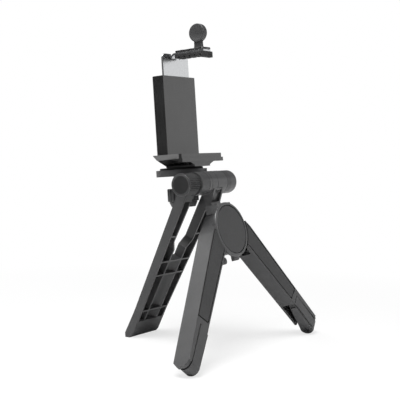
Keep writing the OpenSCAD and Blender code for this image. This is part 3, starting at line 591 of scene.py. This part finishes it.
@dataclass(frozen=True)
class Metal:
    """Plated or machined metal with fine lines along one direction.

    The lines are a noise whose coordinates are stretched, so that it runs long one way.
    """

    name: str
    colour: tuple[float, float, float]
    rough_low: float
    rough_high: float
    stretch: tuple[float, float, float] = (1, 1, 1)
    line_strength: float = 0.15
    line_depth: float = 0.00001
    lines: float = 1400.0
    cloud: float = 120.0
    deeper: float = 0.86

    def material(self) -> bpy.types.Material:
        """Builds the material."""
        graph = Graph(self.name)
        lines = graph.noise(self.lines, detail=4, stretch=self.stretch)
        cloud = graph.noise(self.cloud, detail=4)
        deeper = tuple(self.deeper * c for c in self.colour)
        base = graph.blend(graph.spread(cloud, 0, 1), deeper, self.colour)
        graph.coat(base, graph.spread(cloud, self.rough_low, self.rough_high))
        graph.shader.inputs["Metallic"].default_value = 1.0
        fine = graph.bump(lines, self.line_depth, self.line_strength)
        graph.link(fine, graph.shader.inputs["Normal"])
        return graph.material


class Finishes:
    """Every finish of the tripod, made once."""

    def __init__(self) -> None:
        """Builds the materials."""
        self.shell = MouldedPlastic("shell_plastic").material()
        self.panel = MouldedPlastic(
            "panel_plastic",
            dark=0.03,
            light=0.036,
            rough_low=0.55,
            rough_high=0.66,
            grain=1900,
            grain_strength=0.8,
        ).material()
        self.disc = MouldedPlastic(
            "disc_plastic", dark=0.034, light=0.04, rough_low=0.46, rough_high=0.55, grain=3200
        ).material()
        self.barrel = MouldedPlastic(
            "barrel_plastic", dark=0.052, light=0.062, rough_low=0.3, rough_high=0.4
        ).material()
        self.knob = MouldedPlastic(
            "knob_plastic", dark=0.028, light=0.035, rough_low=0.34, rough_high=0.44
        ).material()
        # Painted shade: the knob's sunk face gets a darker tone standing in for the shade it lies
        # in, on a matter finish.
        self.knob_face = MouldedPlastic(
            "knob_face_plastic", dark=0.012, light=0.016, rough_low=0.5, rough_high=0.6, shine=0.3
        ).material()
        self.gloss = GlossPlastic("clamp_gloss").material()
        self.pad = Rubber("pad_rubber").material()
        self.chrome = Metal(
            "chrome_plate", (0.6, 0.61, 0.62), 0.2, 0.28, (1, 1, 0.05), 0.04
        ).material()
        self.steel = Metal("zinc_steel", (0.6, 0.6, 0.62), 0.26, 0.38, (1, 1, 0.2)).material()
        self.dark_steel = Metal(
            "blacked_steel", (0.1, 0.1, 0.105), 0.3, 0.42, (1, 1, 0.2)
        ).material()
        self.spring = Metal("spring_wire", (0.52, 0.53, 0.55), 0.2, 0.3).material()
        self.brass = Metal("turned_brass", (0.76, 0.58, 0.27), 0.2, 0.32, (1, 1, 0.1)).material()


class Workshop:
    """Dresses solids and lets new pieces ride on their bodies."""

    def __init__(self, frame: dict) -> None:
        """Keeps the frame and makes the finishes."""
        self.frame = frame
        self.finishes = Finishes()

    def dress(
        self, node: str, finish: bpy.types.Material, edge: float = 0.25, turn: float = 32.0
    ) -> bpy.types.Object:
        """Gives a solid its finish and small round edges.

        Args:
            node: The solid's name.
            finish: Its material.
            edge: Width of its round edges in millimetres, 0 for none.
            turn: Edges sharper than this many degrees are rounded.

        Returns:
            The solid's object.
        """
        solid = self.frame["nodes"][node]
        solid.data.materials.clear()
        solid.data.materials.append(finish)
        if edge > 0:
            weld = solid.modifiers.new("weld", "WELD")
            weld.merge_threshold = MERGE
            bevel = solid.modifiers.new("edges", "BEVEL")
            bevel.width = edge * MM
            bevel.segments = 2
            bevel.limit_method = "ANGLE"
            bevel.angle_limit = math.radians(turn)
            bevel.use_clamp_overlap = True
            bevel.harden_normals = False
            normals = solid.modifiers.new("normals", "WEIGHTED_NORMAL")
            normals.keep_sharp = True
        LOG.info("dressed solid %s in %s", node, finish.name)
        return solid

    def place(
        self,
        piece: bpy.types.Object,
        body: str,
        finish: bpy.types.Material,
        slot: Slot,
        *nodes: str,
    ) -> bpy.types.Object:
        """Finishes a new piece: its material, its body and the solids it stands for.

        Args:
            piece: The new piece.
            body: The body it moves with.
            finish: Its material.
            slot: The record's material slot that it stands in; not used.
            nodes: The solids it replaces.

        Returns:
            The same piece.
        """
        piece.data.materials.clear()
        piece.data.materials.append(finish)
        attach(piece, body)
        if nodes:
            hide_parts(*nodes)
        LOG.info("made %s on %s with %d faces", piece.name, body, len(piece.data.polygons))
        return piece

    def tint(self, piece: bpy.types.Object, finish: bpy.types.Material, picked: np.ndarray) -> None:
        """Gives the picked faces of a piece a second finish.

        Args:
            piece: A finished piece.
            finish: The second material.
            picked: One true or false value for each face.
        """
        piece.data.materials.append(finish)
        piece.data.polygons.foreach_set("material_index", picked.astype(np.int32))


def face_values(piece: bpy.types.Object, kind: str) -> np.ndarray:
    """The centre or the normal of each of a piece's faces, one row for each."""
    values = np.empty((len(piece.data.polygons), 3))
    flat = values.ravel()
    piece.data.polygons.foreach_get(kind, flat)
    return values


# Sub-assemblies


@dataclass
class Barrel:
    """The barrel hinge: knob, washer, tilt bolt, nut and the domed end cap."""

    knob_r: float = 6.6
    knob_x0: float = -31.0
    knob_x1: float = -19.0
    knurls: int = 36
    knurl_depth: float = 0.62
    rim_r: float = 6.65
    bead: float = 0.5
    bead_run: float = 0.55
    neck_run: float = 1.25
    neck_sink: float = 0.45
    face_r: float = 5.35
    face_depth: float = 0.35
    rim_run: float = 1.0
    bore_r: float = 2.5

    def knob(self) -> Surface:
        """Straight-knurled sleeve between a bead rim and a plain back, with a sunk face.

        Round the sleeve r = R - d |sin(n a / 2)|, and d fades to 0 over the ends.
        """
        x0, face = self.knob_x0, self.knob_x0 + self.face_depth
        sunk = np.array([
            [0.0, face + 0.25], [2.0, face + 0.2], [self.face_r - 0.5, face],
            [self.face_r, face - 0.05], [self.face_r + 0.2, x0 + 0.12],
        ])
        t = np.linspace(0, np.pi, 9)
        bead = np.stack([
            self.rim_r - self.bead + self.bead * np.sin(t),
            x0 + self.bead_run * (1 - np.cos(t)),
        ], 1)
        neck = [[self.rim_r - self.neck_sink, x0 + self.neck_run]]
        # Run from the face, drop from the full radius and share of the knurls' depth
        sleeve = np.array([
            [1.35, 0.3, 0.3], [1.6, 0.12, 0.8], [2, 0, 1], [4, 0, 1], [6, 0, 1], [8, 0, 1],
            [10, 0, 1], [11.2, 0, 1], [11.6, 0.1, 0.8], [11.85, 0.3, 0.3], [12, 0.6, 0],
        ])
        body = np.stack([self.knob_r - sleeve[:, 1], x0 + sleeve[:, 0]], 1)
        back = [[self.bore_r, self.knob_x1], [0.0, self.knob_x1]]
        profile = np.concatenate([sunk, bead, neck, body, back])
        fade = np.zeros((len(profile), 1))
        start = len(profile) - len(back) - len(sleeve)
        fade[start:start + len(sleeve), 0] = sleeve[:, 2]
        a = round_angles(self.knurls * 8)
        radius = profile[:, :1] - self.knurl_depth * fade * np.abs(np.sin(self.knurls * a / 2))
        return Surface().grid(Axis.X.turn(radius, a, profile[:, 1:]))

    def build(self, shop: Workshop) -> None:
        """Makes the knob and dresses the rest."""
        look = shop.finishes
        knob = self.knob().build("knob_with_knurls", STANCE.barrel(), smooth=40)
        shop.place(knob, "knob", look.knob, Slot.PLASTIC, "tilt_knob")
        centre = face_values(knob, "center") / MM
        off = np.hypot(centre[:, 1] - STANCE.barrel_y, centre[:, 2] - STANCE.barrel_z)
        near = centre[:, 0] < self.knob_x0 + self.rim_run
        # Painted shade: the faces of the sunk face take the darker painted-shade finish.
        shop.tint(knob, look.knob_face, (off < self.face_r) & near)
        shop.dress("knob_washer", look.pad, edge=0.1)
        shop.dress("tilt_bolt", look.steel, edge=0.3)
        shop.dress("tilt_nut", look.steel, edge=0.2)
        shop.dress("barrel_end_cap", look.barrel, edge=0)


@dataclass
class Hub:
    """The round hub: plate, cover disc, retainer and the bolt through the leg heads."""

    disc_r: float = 14.6
    disc_front: float = -7.9
    disc_back: float = -6.6
    wave_r: float = 7.9
    wave_bore: float = 6.05
    wave_front: float = 2.95
    wave_t: float = 0.22
    wave_lift: float = 0.28
    waves: int = 3
    dome: float = 0.28
    rolled: float = 0.5
    rolled_gap: float = 0.05
    chamfer: float = 0.1

    def disc(self) -> Surface:
        """A slightly domed disc: h = front + dome (r / R)^2, with a rolled edge."""
        r = np.linspace(0, self.disc_r - self.rolled - self.rolled_gap, 24)
        h = self.disc_front + self.dome * (r / self.disc_r) ** 2
        face = np.stack([r, h], 1)
        middle = (self.disc_r - self.rolled, h[-1] + self.rolled)
        edge = arc(middle, self.rolled, start=-90, end=0, count=8)
        back = np.array([
            [self.disc_r, self.disc_back - self.chamfer],
            [self.disc_r - self.chamfer, self.disc_back],
            [0.0, self.disc_back],
        ])
        return Surface().grid(lathe(np.concatenate([face, edge, back]), Axis.Y, segments=160))

    def wave(self) -> Surface:
        """A wave washer: its run is front + w (1 + sin(n a)) / 2, between bore and rim."""
        a = round_angles(144).T
        lift = self.wave_front + self.wave_lift * (1 + np.sin(self.waves * a)) / 2
        r = np.array([self.wave_bore, self.wave_bore, self.wave_r, self.wave_r])[None, :]
        h = lift + np.array([0, self.wave_t, self.wave_t, 0])[None, :]
        return Surface().grid(Axis.Y.turn(r, a, h), ring=True)

    def build(self, shop: Workshop) -> None:
        """Makes the disc and the washer and dresses the rest."""
        look = shop.finishes
        shop.dress("hub_frame", look.barrel, edge=0.4)
        disc = self.disc().build("hub_disc", STANCE.hub(), smooth=50)
        shop.place(disc, "hub", look.disc, Slot.PLASTIC, "hub_cap")
        washer = self.wave().build("hub_wave_washer", STANCE.hub(), smooth=40)
        shop.place(washer, "hub", look.spring, Slot.STEEL, "leg_wave_washer")
        shop.dress("hub_retainer", look.shell, edge=0.25)
        shop.dress("leg_hinge_bolt", look.steel, edge=0.2)
        shop.dress("leg_hinge_nut", look.steel, edge=0.2)


@dataclass
class FrontLeg:
    """One front leg: shell, grip panel, foot arm and the arm's screw."""

    side: Side
    inner: float = 1.6
    outer_top: float = 15.7
    outer_foot: float = 11.2
    corner: float = 14.0
    leg_end: float = 101.8
    brow: float = 15.4
    brow_rise: float = 3.0
    border_in: float = 0.8
    border_out: float = 0.4
    plate_room: float = 17.3
    panel_end: float = 70.0
    slant: float = 0.8
    front: float = -7.9
    panel_t: float = 1.6
    # Panel faces turned further from the front than this get the painted-shade rubber.
    edge_turn: float = -0.6
    fit: float = 0.8
    rim_room: float = 0.05
    rolled: float = 0.22
    rounds: tuple[float, ...] = (0.3, 0.5, 0.5, 0.5, 0.3)
    bend_round: float = 0.01

    def outer(self, down: float) -> float:
        """The leg's outer edge at a distance down from the hub's axis."""
        share = (down - self.corner) / (self.leg_end - self.corner)
        return self.outer_top - (self.outer_top - self.outer_foot) * share

    def panel(self) -> Surface:
        """The grip panel: straight sides, and a top that runs along the hub plate's rim."""
        low_in, edge = self.inner + self.border_in + self.fit, self.border_out + self.fit
        top, end = -self.corner + self.brow_rise, self.panel_end + self.slant
        room = self.plate_room + self.rim_room
        start = math.degrees(math.asin(top / room))
        stop = -math.degrees(math.acos(low_in / room))
        sides = np.array([
            [low_in, -math.sqrt(room**2 - low_in**2)],
            [low_in, -self.panel_end + self.fit],
            [self.outer(end) - edge, -end + self.fit],
            [self.outer_top - edge, -self.corner],
            [self.brow - edge, top],
        ])
        bend = arc((0, 0), room, start, stop, count=16)[:-1]
        corners = np.concatenate([sides, bend])
        radius = np.concatenate([self.rounds, np.full(len(bend), self.bend_round)])
        across_up = rounded(corners, radius, count=5)
        loop = np.stack([across_up[:, 1], across_up[:, 0]], 1)[::-1]
        rows = plate(loop, self.front, self.front + self.panel_t, self.rolled, Axis.Y)
        return Surface().grid(rows, caps=True)

    def build(self, shop: Workshop) -> None:
        """Makes the panel and dresses the rest."""
        look, word = shop.finishes, self.side.word
        place = STANCE.leg(self.side)
        shop.dress(f"{word}_leg", look.shell, edge=0.3)
        panel = self.panel().build(f"{word}_grip", place, smooth=40)
        shop.place(panel, f"{word}_leg", look.panel, Slot.PLASTIC, f"{word}_grip_panel")
        # Painted shade: the panel's side walls and back take the darker matt rubber, so the groove
        # round the panel reads dark.
        shop.tint(panel, look.pad, face_values(panel, "normal")[:, 1] > self.edge_turn)
        shop.dress(f"{word}_foot_arm", look.shell, edge=0.3)
        shop.dress(f"{word}_foot_screw", look.dark_steel, edge=0.12)


@dataclass
class RearLeg:
    """The ribbed rear leg."""

    edge: float = 0.22

    def build(self, shop: Workshop) -> None:
        """Dresses the leg."""
        shop.dress("rear_leg", shop.finishes.shell, self.edge)


@dataclass
class Head:
    """The tilting head: bracket, rubber pad, thumbwheel, camera screw and its clip."""

    platform_y: float = 19.9
    wheel_r: float = 9.6
    wheel_low: float = -13.9
    wheel_high: float = -2.4
    foot_l: float = 3.4
    lobes: int = 22
    lobe_depth: float = 0.75
    screw_r: float = 3.175
    screw_low: float = -12.3
    screw_high: float = 15.1
    thread_pitch: float = 1.27
    thread_depth: float = 0.6
    pad_r: float = 13.3
    pad_low: float = 9.2
    pad_high: float = 10.45
    pad_bore: float = 5.3
    pad_edge: float = 0.2
    ridge_h: float = 0.12
    ridge_pitch: float = 1.4
    foot_lobe_depth: float = 0.4
    foot_sharpness: float = 1.4
    lobe_sharpness: float = 1.6
    screw_end_l: float = 0.6
    screw_end_drop: float = 0.5

    def wheel(self) -> Surface:
        """The thumbwheel: a fluted drum over a smaller, tapered foot with finer flutes.

        Round it r = R(h) - d(h) (1 - |sin(n a / 2)|)^p, with n lobes on the drum and twice
        as many on the foot.
        """
        a = round_angles(self.lobes * 24)
        low, high, step = self.wheel_low, self.wheel_high, self.wheel_low + self.foot_l
        rim = self.wheel_r
        # Radius, height and share of the flutes' depth
        foot = np.array([
            [0, low, 0], [6.9, low, 0], [7.2, low + 0.08, 0.4], [7.5, low + 0.35, 0.7],
            [8.55, step - 0.75, 1], [8.75, step - 0.4, 1], [8.7, step - 0.2, 0.6],
            [8.3, step - 0.05, 0], [8.3, step + 0.1, 0],
        ])
        drum = np.array([
            [rim - 0.5, step + 0.12, 0.3], [rim - 0.12, step + 0.22, 0.8], [rim, step + 0.5, 1],
            [rim, step + 2, 1], [rim, step + 4, 1], [rim, high - 0.6, 1],
            [rim - 0.1, high - 0.25, 1], [rim - 0.35, high - 0.06, 0.9],
            [rim - 0.65, high, 0.8], [self.screw_r, high, 0], [0, high, 0],
        ])
        fine = (1 - np.abs(np.sin(self.lobes * a))) ** self.foot_sharpness
        coarse = (1 - np.abs(np.sin(self.lobes * a / 2))) ** self.lobe_sharpness
        radius = np.concatenate([
            foot[:, :1] - self.foot_lobe_depth * foot[:, 2:] * fine,
            drum[:, :1] - self.lobe_depth * drum[:, 2:] * coarse,
        ])
        h = np.concatenate([foot[:, 1:2], drum[:, 1:2]])
        return Surface().grid(Axis.Z.turn(radius, a, h) + np.array([0, self.platform_y, 0]))

    def screw(self) -> Surface:
        """A threaded rod: r = R - d |2 f - 1|, f the fraction of (h / p - a / 2 pi)."""
        a = round_angles(40)
        h = np.linspace(self.screw_low, self.screw_high, 221)[:, None]
        f = np.mod(h / self.thread_pitch - a / (2 * np.pi), 1)
        inside = np.minimum(h - self.screw_low, self.screw_high - h)
        taper = self.screw_end_drop * (1 - np.clip(inside / self.screw_end_l, 0, 1))
        r = self.screw_r - self.thread_depth * np.abs(2 * f - 1) - taper
        rows = Axis.Z.turn(r, a, h) + np.array([0, self.platform_y, 0])
        return Surface().grid(rows, caps=True)

    def pad(self) -> Surface:
        """The rubber pad: a ring whose top dips by d (1 - cos(2 pi (r - r0) / p)) / 2."""
        r = np.linspace(self.pad_bore + self.pad_edge, self.pad_r - self.pad_edge, 90)
        dip = self.ridge_h * (0.5 - 0.5 * np.cos(2 * np.pi * (r - r[0]) / self.ridge_pitch))
        top = np.stack([r, self.pad_high - dip], 1)
        shoulder = self.pad_high - self.pad_edge
        profile = np.concatenate([
            [[self.pad_bore, self.pad_low], [self.pad_bore, shoulder]], top,
            [[self.pad_r, shoulder], [self.pad_r, self.pad_low]],
        ])
        rows = lathe(profile, Axis.Z, segments=120, at=(0, self.platform_y, 0))
        return Surface().grid(rows, ring=True)

    def build(self, shop: Workshop) -> None:
        """Makes the wheel, the screw and the pad and dresses the rest."""
        look = shop.finishes
        shop.dress("head_bracket", look.barrel, edge=0.45)
        wheel = self.wheel().build("grooved_thumbwheel", STANCE.head(), smooth=40)
        shop.place(wheel, "wheel", look.knob, Slot.PLASTIC, "thumbwheel")
        screw = self.screw().build("threaded_camera_screw", STANCE.head(), smooth=60)
        shop.place(screw, "wheel", look.steel, Slot.STEEL, "camera_screw")
        pad = self.pad().build("ridged_platform_pad", STANCE.head(), smooth=40)
        shop.place(pad, "head", look.pad, Slot.RUBBER, "platform_pad")
        shop.dress("screw_clip", look.spring, edge=0.05)


@dataclass
class PhoneClamp:
    """The clamp's fixed half: body, insert, lower pad, back cover, screws and springs."""

    spring_x: float = 9.0
    spring_y: float = 22.25
    spring_r: float = 1.3
    wire_r: float = 0.28
    spring_low: float = 19.55
    spring_high: float = 34.45
    curls: int = 9

    def spring(self, side: Side) -> Surface:
        """A close spring: (r cos t, r sin t, z0 + p t / 2 pi), as a tube along that helix."""
        t = np.linspace(0, 2 * np.pi * self.curls, self.curls * 24 + 1)
        z = np.linspace(self.spring_low + self.wire_r, self.spring_high - self.wire_r, len(t))
        x = self.spring_r * np.cos(t) + side.value * self.spring_x
        y = self.spring_r * np.sin(t) + self.spring_y
        path = np.stack([x, y, z], 1)
        return Surface().grid(tube(path, self.wire_r, sides=10), caps=True)

    def build(self, shop: Workshop) -> None:
        """Makes the springs and dresses the rest."""
        look = shop.finishes
        shop.dress("clamp_body", look.gloss, edge=0.45)
        shop.dress("clamp_back_cover", look.gloss, edge=0.4)
        shop.dress("thread_insert", look.brass, edge=0.1)
        shop.dress("lower_jaw_pad", look.pad, edge=0.15)
        for side in Side:
            shop.dress(f"{side.word}_cover_screw", look.steel, edge=0.15)
            spring = self.spring(side).build(f"{side.word}_coiled_spring", STANCE.head(), smooth=60)
            shop.place(spring, "clamp", look.spring, Slot.STEEL, f"{side.word}_jaw_spring")


@dataclass
class UpperJaw:
    """The moving half: chrome slide, its pad and cap, two rivets and the pull tab."""

    tab_r: float = 5.6
    tab_t: float = 3.6
    tab_y: float = 1.6
    tab_z: float = 91.05
    tab_edge: float = 0.55
    dish_r: float = 4.75
    dish_depth: float = 0.95
    stem_low: float = 81.75
    stem_w: float = 5.7
    stem_t: float = 2.0
    cap_half: float = 4.5
    cap_front: float = -5.1
    cap_back: float = 16.6
    cap_low: float = 80.45
    cap_high: float = 81.75
    cap_rounds: tuple[float, ...] = (3.0, 3.0, 1.2, 1.2)
    cap_edge: float = 0.45
    stem_round: float = 0.4
    stem_bite: float = 1.1
    flare: float = 0.7

    def cap(self) -> Surface:
        """The thin cap: an oblong with a round nose, squarer at the back, its edges rolled."""
        oblong = np.array([
            [-self.cap_half, self.cap_front],
            [self.cap_half, self.cap_front],
            [self.cap_half, self.cap_back],
            [-self.cap_half, self.cap_back],
        ])
        outline = rounded(oblong, np.array(self.cap_rounds), count=10)
        rows = plate(outline, self.cap_low, self.cap_high, self.cap_edge, Axis.Z, steps=5)
        return Surface().grid(rows, caps=True)

    def tab(self) -> Surface:
        """A disc sunk on both faces, on a flat stem.

        Each face is x = t / 2 - d (1 - (r / r0)^2) inside the dish, then a narrow rim with a
        round edge. The stem is a rounded oblong that flares by f (1 - u)^6 at its foot.
        """
        r = np.linspace(0, self.dish_r, 16)
        dish = self.tab_t / 2 - self.dish_depth * (1 - (r / self.dish_r) ** 2)
        edge = self.tab_edge
        rim = arc((self.tab_r - edge, self.tab_t / 2 - edge), edge, start=90, end=0, count=7)
        half = np.concatenate([np.stack([r, dish], 1), rim])
        profile = np.concatenate([half * (1, -1), half[::-1]])
        middle = np.array([0, self.tab_y, self.tab_z])
        surface = Surface().grid(lathe(profile, Axis.X, segments=96) + middle)
        u = np.linspace(0, 1, 14)[:, None]
        oblong = rounded(np.array([[-1.0, -1.0], [1, -1], [1, 1], [-1, 1]]), self.stem_round)
        flare = self.flare * (1 - u) ** 6
        x = oblong[None, :, 0] * (self.stem_t / 2 + 0.5 * flare)
        y = oblong[None, :, 1] * (self.stem_w / 2 + flare) + self.tab_y
        top = self.tab_z - self.tab_r + self.stem_bite
        z = self.stem_low + u * (top - self.stem_low) + 0 * x
        return surface.grid(np.stack([x, y, z], 2), caps=True)

    def build(self, shop: Workshop) -> None:
        """Makes the pull tab and dresses the rest of the moving half."""
        look = shop.finishes
        shop.dress("slide_plate", look.chrome, edge=0.3)
        shop.dress("upper_jaw_pad", look.pad, edge=0.2)
        cap = self.cap().build("round_nosed_cap", STANCE.head(), smooth=40)
        shop.place(cap, "upper_jaw", look.gloss, Slot.GLOSS, "upper_jaw_cap")
        shop.dress("front_jaw_rivet", look.steel, edge=0.15)
        shop.dress("back_jaw_rivet", look.steel, edge=0.15)
        tab = self.tab().build("dished_pull_tab", STANCE.head(), smooth=45)
        shop.place(tab, "upper_jaw", look.shell, Slot.PLASTIC, "pull_tab")


@dataclass(frozen=True)
class Lamp:
    """A square soft lamp that faces a point, in metres and watts."""

    name: str
    at: tuple[float, float, float]
    aim: tuple[float, float, float]
    size: float
    watts: float

    def build(self) -> None:
        """Hangs the lamp."""
        data = bpy.data.lights.new(self.name, "AREA")
        data.shape = "SQUARE"
        data.size = self.size
        data.energy = self.watts
        lamp = bpy.data.objects.new(self.name, data)
        bpy.context.scene.collection.objects.link(lamp)
        turn = (Vector(self.at) - Vector(self.aim)).to_track_quat("Z", "Y").to_matrix()
        lamp.matrix_world = Matrix.Translation(self.at) @ turn.to_4x4()


LAMPS = (
    Lamp("key", (-0.42, -0.05, 1.2), (0, 0, 0.09), 0.6, 20.0),
    Lamp("front", (0.1, -1.1, 0.9), (0, 0, 0.08), 0.8, 4.0),
    Lamp("back", (0.05, 0.95, 0.85), (0, 0, 0.08), 0.8, 6.0),
    Lamp("right", (1.0, -0.7, 0.3), (0, 0, 0.1), 0.6, 1.2),
)


@dataclass
class Studio:
    """Floor, lamps, world and camera."""

    camera_mm: tuple[float, float, float] = (-497.7, -326.5, 136.45)
    azimuth: float = 56.69
    pitch: float = 4.58
    roll: float = 1.3
    focal_px: float = 976.8
    frame_px: float = 400.0
    sensor_mm: float = 36.0
    clip: tuple[float, float] = (0.02, 20)
    sky: float = 0.12
    floor_reach: float = 6.0
    floor_white: tuple[float, float, float, float] = (0.95, 0.95, 0.95, 1)
    floor_rough: float = 0.16
    floor_shine: float = 0.35
    fade_least: float = 0.7
    fade_start: float = 0.12
    fade_end: float = 0.34

    def camera(self) -> None:
        """Stands the camera at the photograph's viewpoint."""
        data = bpy.data.cameras.new("view")
        data.sensor_width = self.sensor_mm
        data.lens = self.focal_px / self.frame_px * self.sensor_mm
        data.clip_start, data.clip_end = self.clip
        camera = bpy.data.objects.new("view", data)
        bpy.context.scene.collection.objects.link(camera)
        turn = (
            Matrix.Rotation(-math.radians(self.azimuth), 4, "Z")
            @ Matrix.Rotation(math.radians(90 - self.pitch), 4, "X")
            @ Matrix.Rotation(math.radians(self.roll), 4, "Z")
        )
        camera.matrix_world = Matrix.Translation([c * MM for c in self.camera_mm]) @ turn
        bpy.context.scene.camera = camera

    def white_to_eye(self, tree: bpy.types.NodeTree) -> bpy.types.NodeSocket:
        """One when a ray is from the camera or comes through glass, else nought."""
        path = tree.nodes.new("ShaderNodeLightPath")
        either = tree.nodes.new("ShaderNodeMath")
        either.operation = "MAXIMUM"
        tree.links.new(path.outputs["Is Camera Ray"], either.inputs[0])
        tree.links.new(path.outputs["Is Transmission Ray"], either.inputs[1])
        return either.outputs[0]

    def world(self) -> None:
        """A soft even sky that shows white to the eye."""
        world = bpy.data.worlds.new("studio")
        bpy.context.scene.world = world
        world.use_nodes = True
        tree = world.node_tree
        back = tree.nodes["Background"]
        back.inputs["Color"].default_value = (1, 1, 1, 1)
        mapped = tree.nodes.new("ShaderNodeMapRange")
        mapped.inputs["To Min"].default_value = self.sky
        mapped.inputs["To Max"].default_value = 1.0
        tree.links.new(self.white_to_eye(tree), mapped.inputs["Value"])
        tree.links.new(mapped.outputs["Result"], back.inputs["Strength"])

    def floor(self) -> None:
        """A wide pale floor, faintly glossy, that fades to plain white away from the object."""
        mesh = bpy.data.meshes.new("floor")
        reach = self.floor_reach
        mesh.from_pydata(
            [(-reach, -reach, 0), (reach, -reach, 0), (reach, reach, 0), (-reach, reach, 0)],
            [],
            [(0, 1, 2, 3)],
        )
        floor = bpy.data.objects.new("floor", mesh)
        bpy.context.scene.collection.objects.link(floor)
        graph = Graph("floor_white")
        graph.shader.inputs["Base Color"].default_value = self.floor_white
        graph.shader.inputs["Roughness"].default_value = self.floor_rough
        graph.shader.inputs["Specular IOR Level"].default_value = self.floor_shine
        length = graph.tree.nodes.new("ShaderNodeVectorMath")
        length.operation = "LENGTH"
        graph.link(graph.coordinates, length.inputs[0])
        far = graph.spread(
            length.outputs["Value"], self.fade_least, 1, self.fade_start, self.fade_end
        )
        share = graph.tree.nodes.new("ShaderNodeMath")
        share.operation = "MULTIPLY"
        graph.link(far, share.inputs[0])
        graph.link(self.white_to_eye(graph.tree), share.inputs[1])
        white = graph.tree.nodes.new("ShaderNodeEmission")
        mix = graph.tree.nodes.new("ShaderNodeMixShader")
        graph.link(share.outputs[0], mix.inputs["Fac"])
        graph.link(graph.shader.outputs["BSDF"], mix.inputs[1])
        graph.link(white.outputs["Emission"], mix.inputs[2])
        graph.link(mix.outputs["Shader"], graph.tree.nodes["Material Output"].inputs["Surface"])
        mesh.materials.append(graph.material)

    def build(self) -> None:
        """Sets up the studio."""
        bpy.context.scene.view_settings.view_transform = "Standard"
        self.world()
        self.floor()
        for lamp in LAMPS:
            lamp.build()
        self.camera()


def corners(bounds: tuple) -> list[list[float]]:
    """A box's two corners as plain lists."""
    return [list(map(float, corner)) for corner in bounds]


def main() -> None:
    """Builds the studio and every sub-assembly."""
    logging.basicConfig(level=logging.INFO, format="%(name)s: %(message)s")
    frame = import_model()
    shop = Workshop(frame)
    Studio().build()
    legs = [FrontLeg(side) for side in Side]
    for assembly in (Hub(), Barrel(), *legs, RearLeg(), Head(), PhoneClamp(), UpperJaw()):
        assembly.build(shop)
    bpy.context.view_layer.update()


if __name__ == "__main__":
    main()
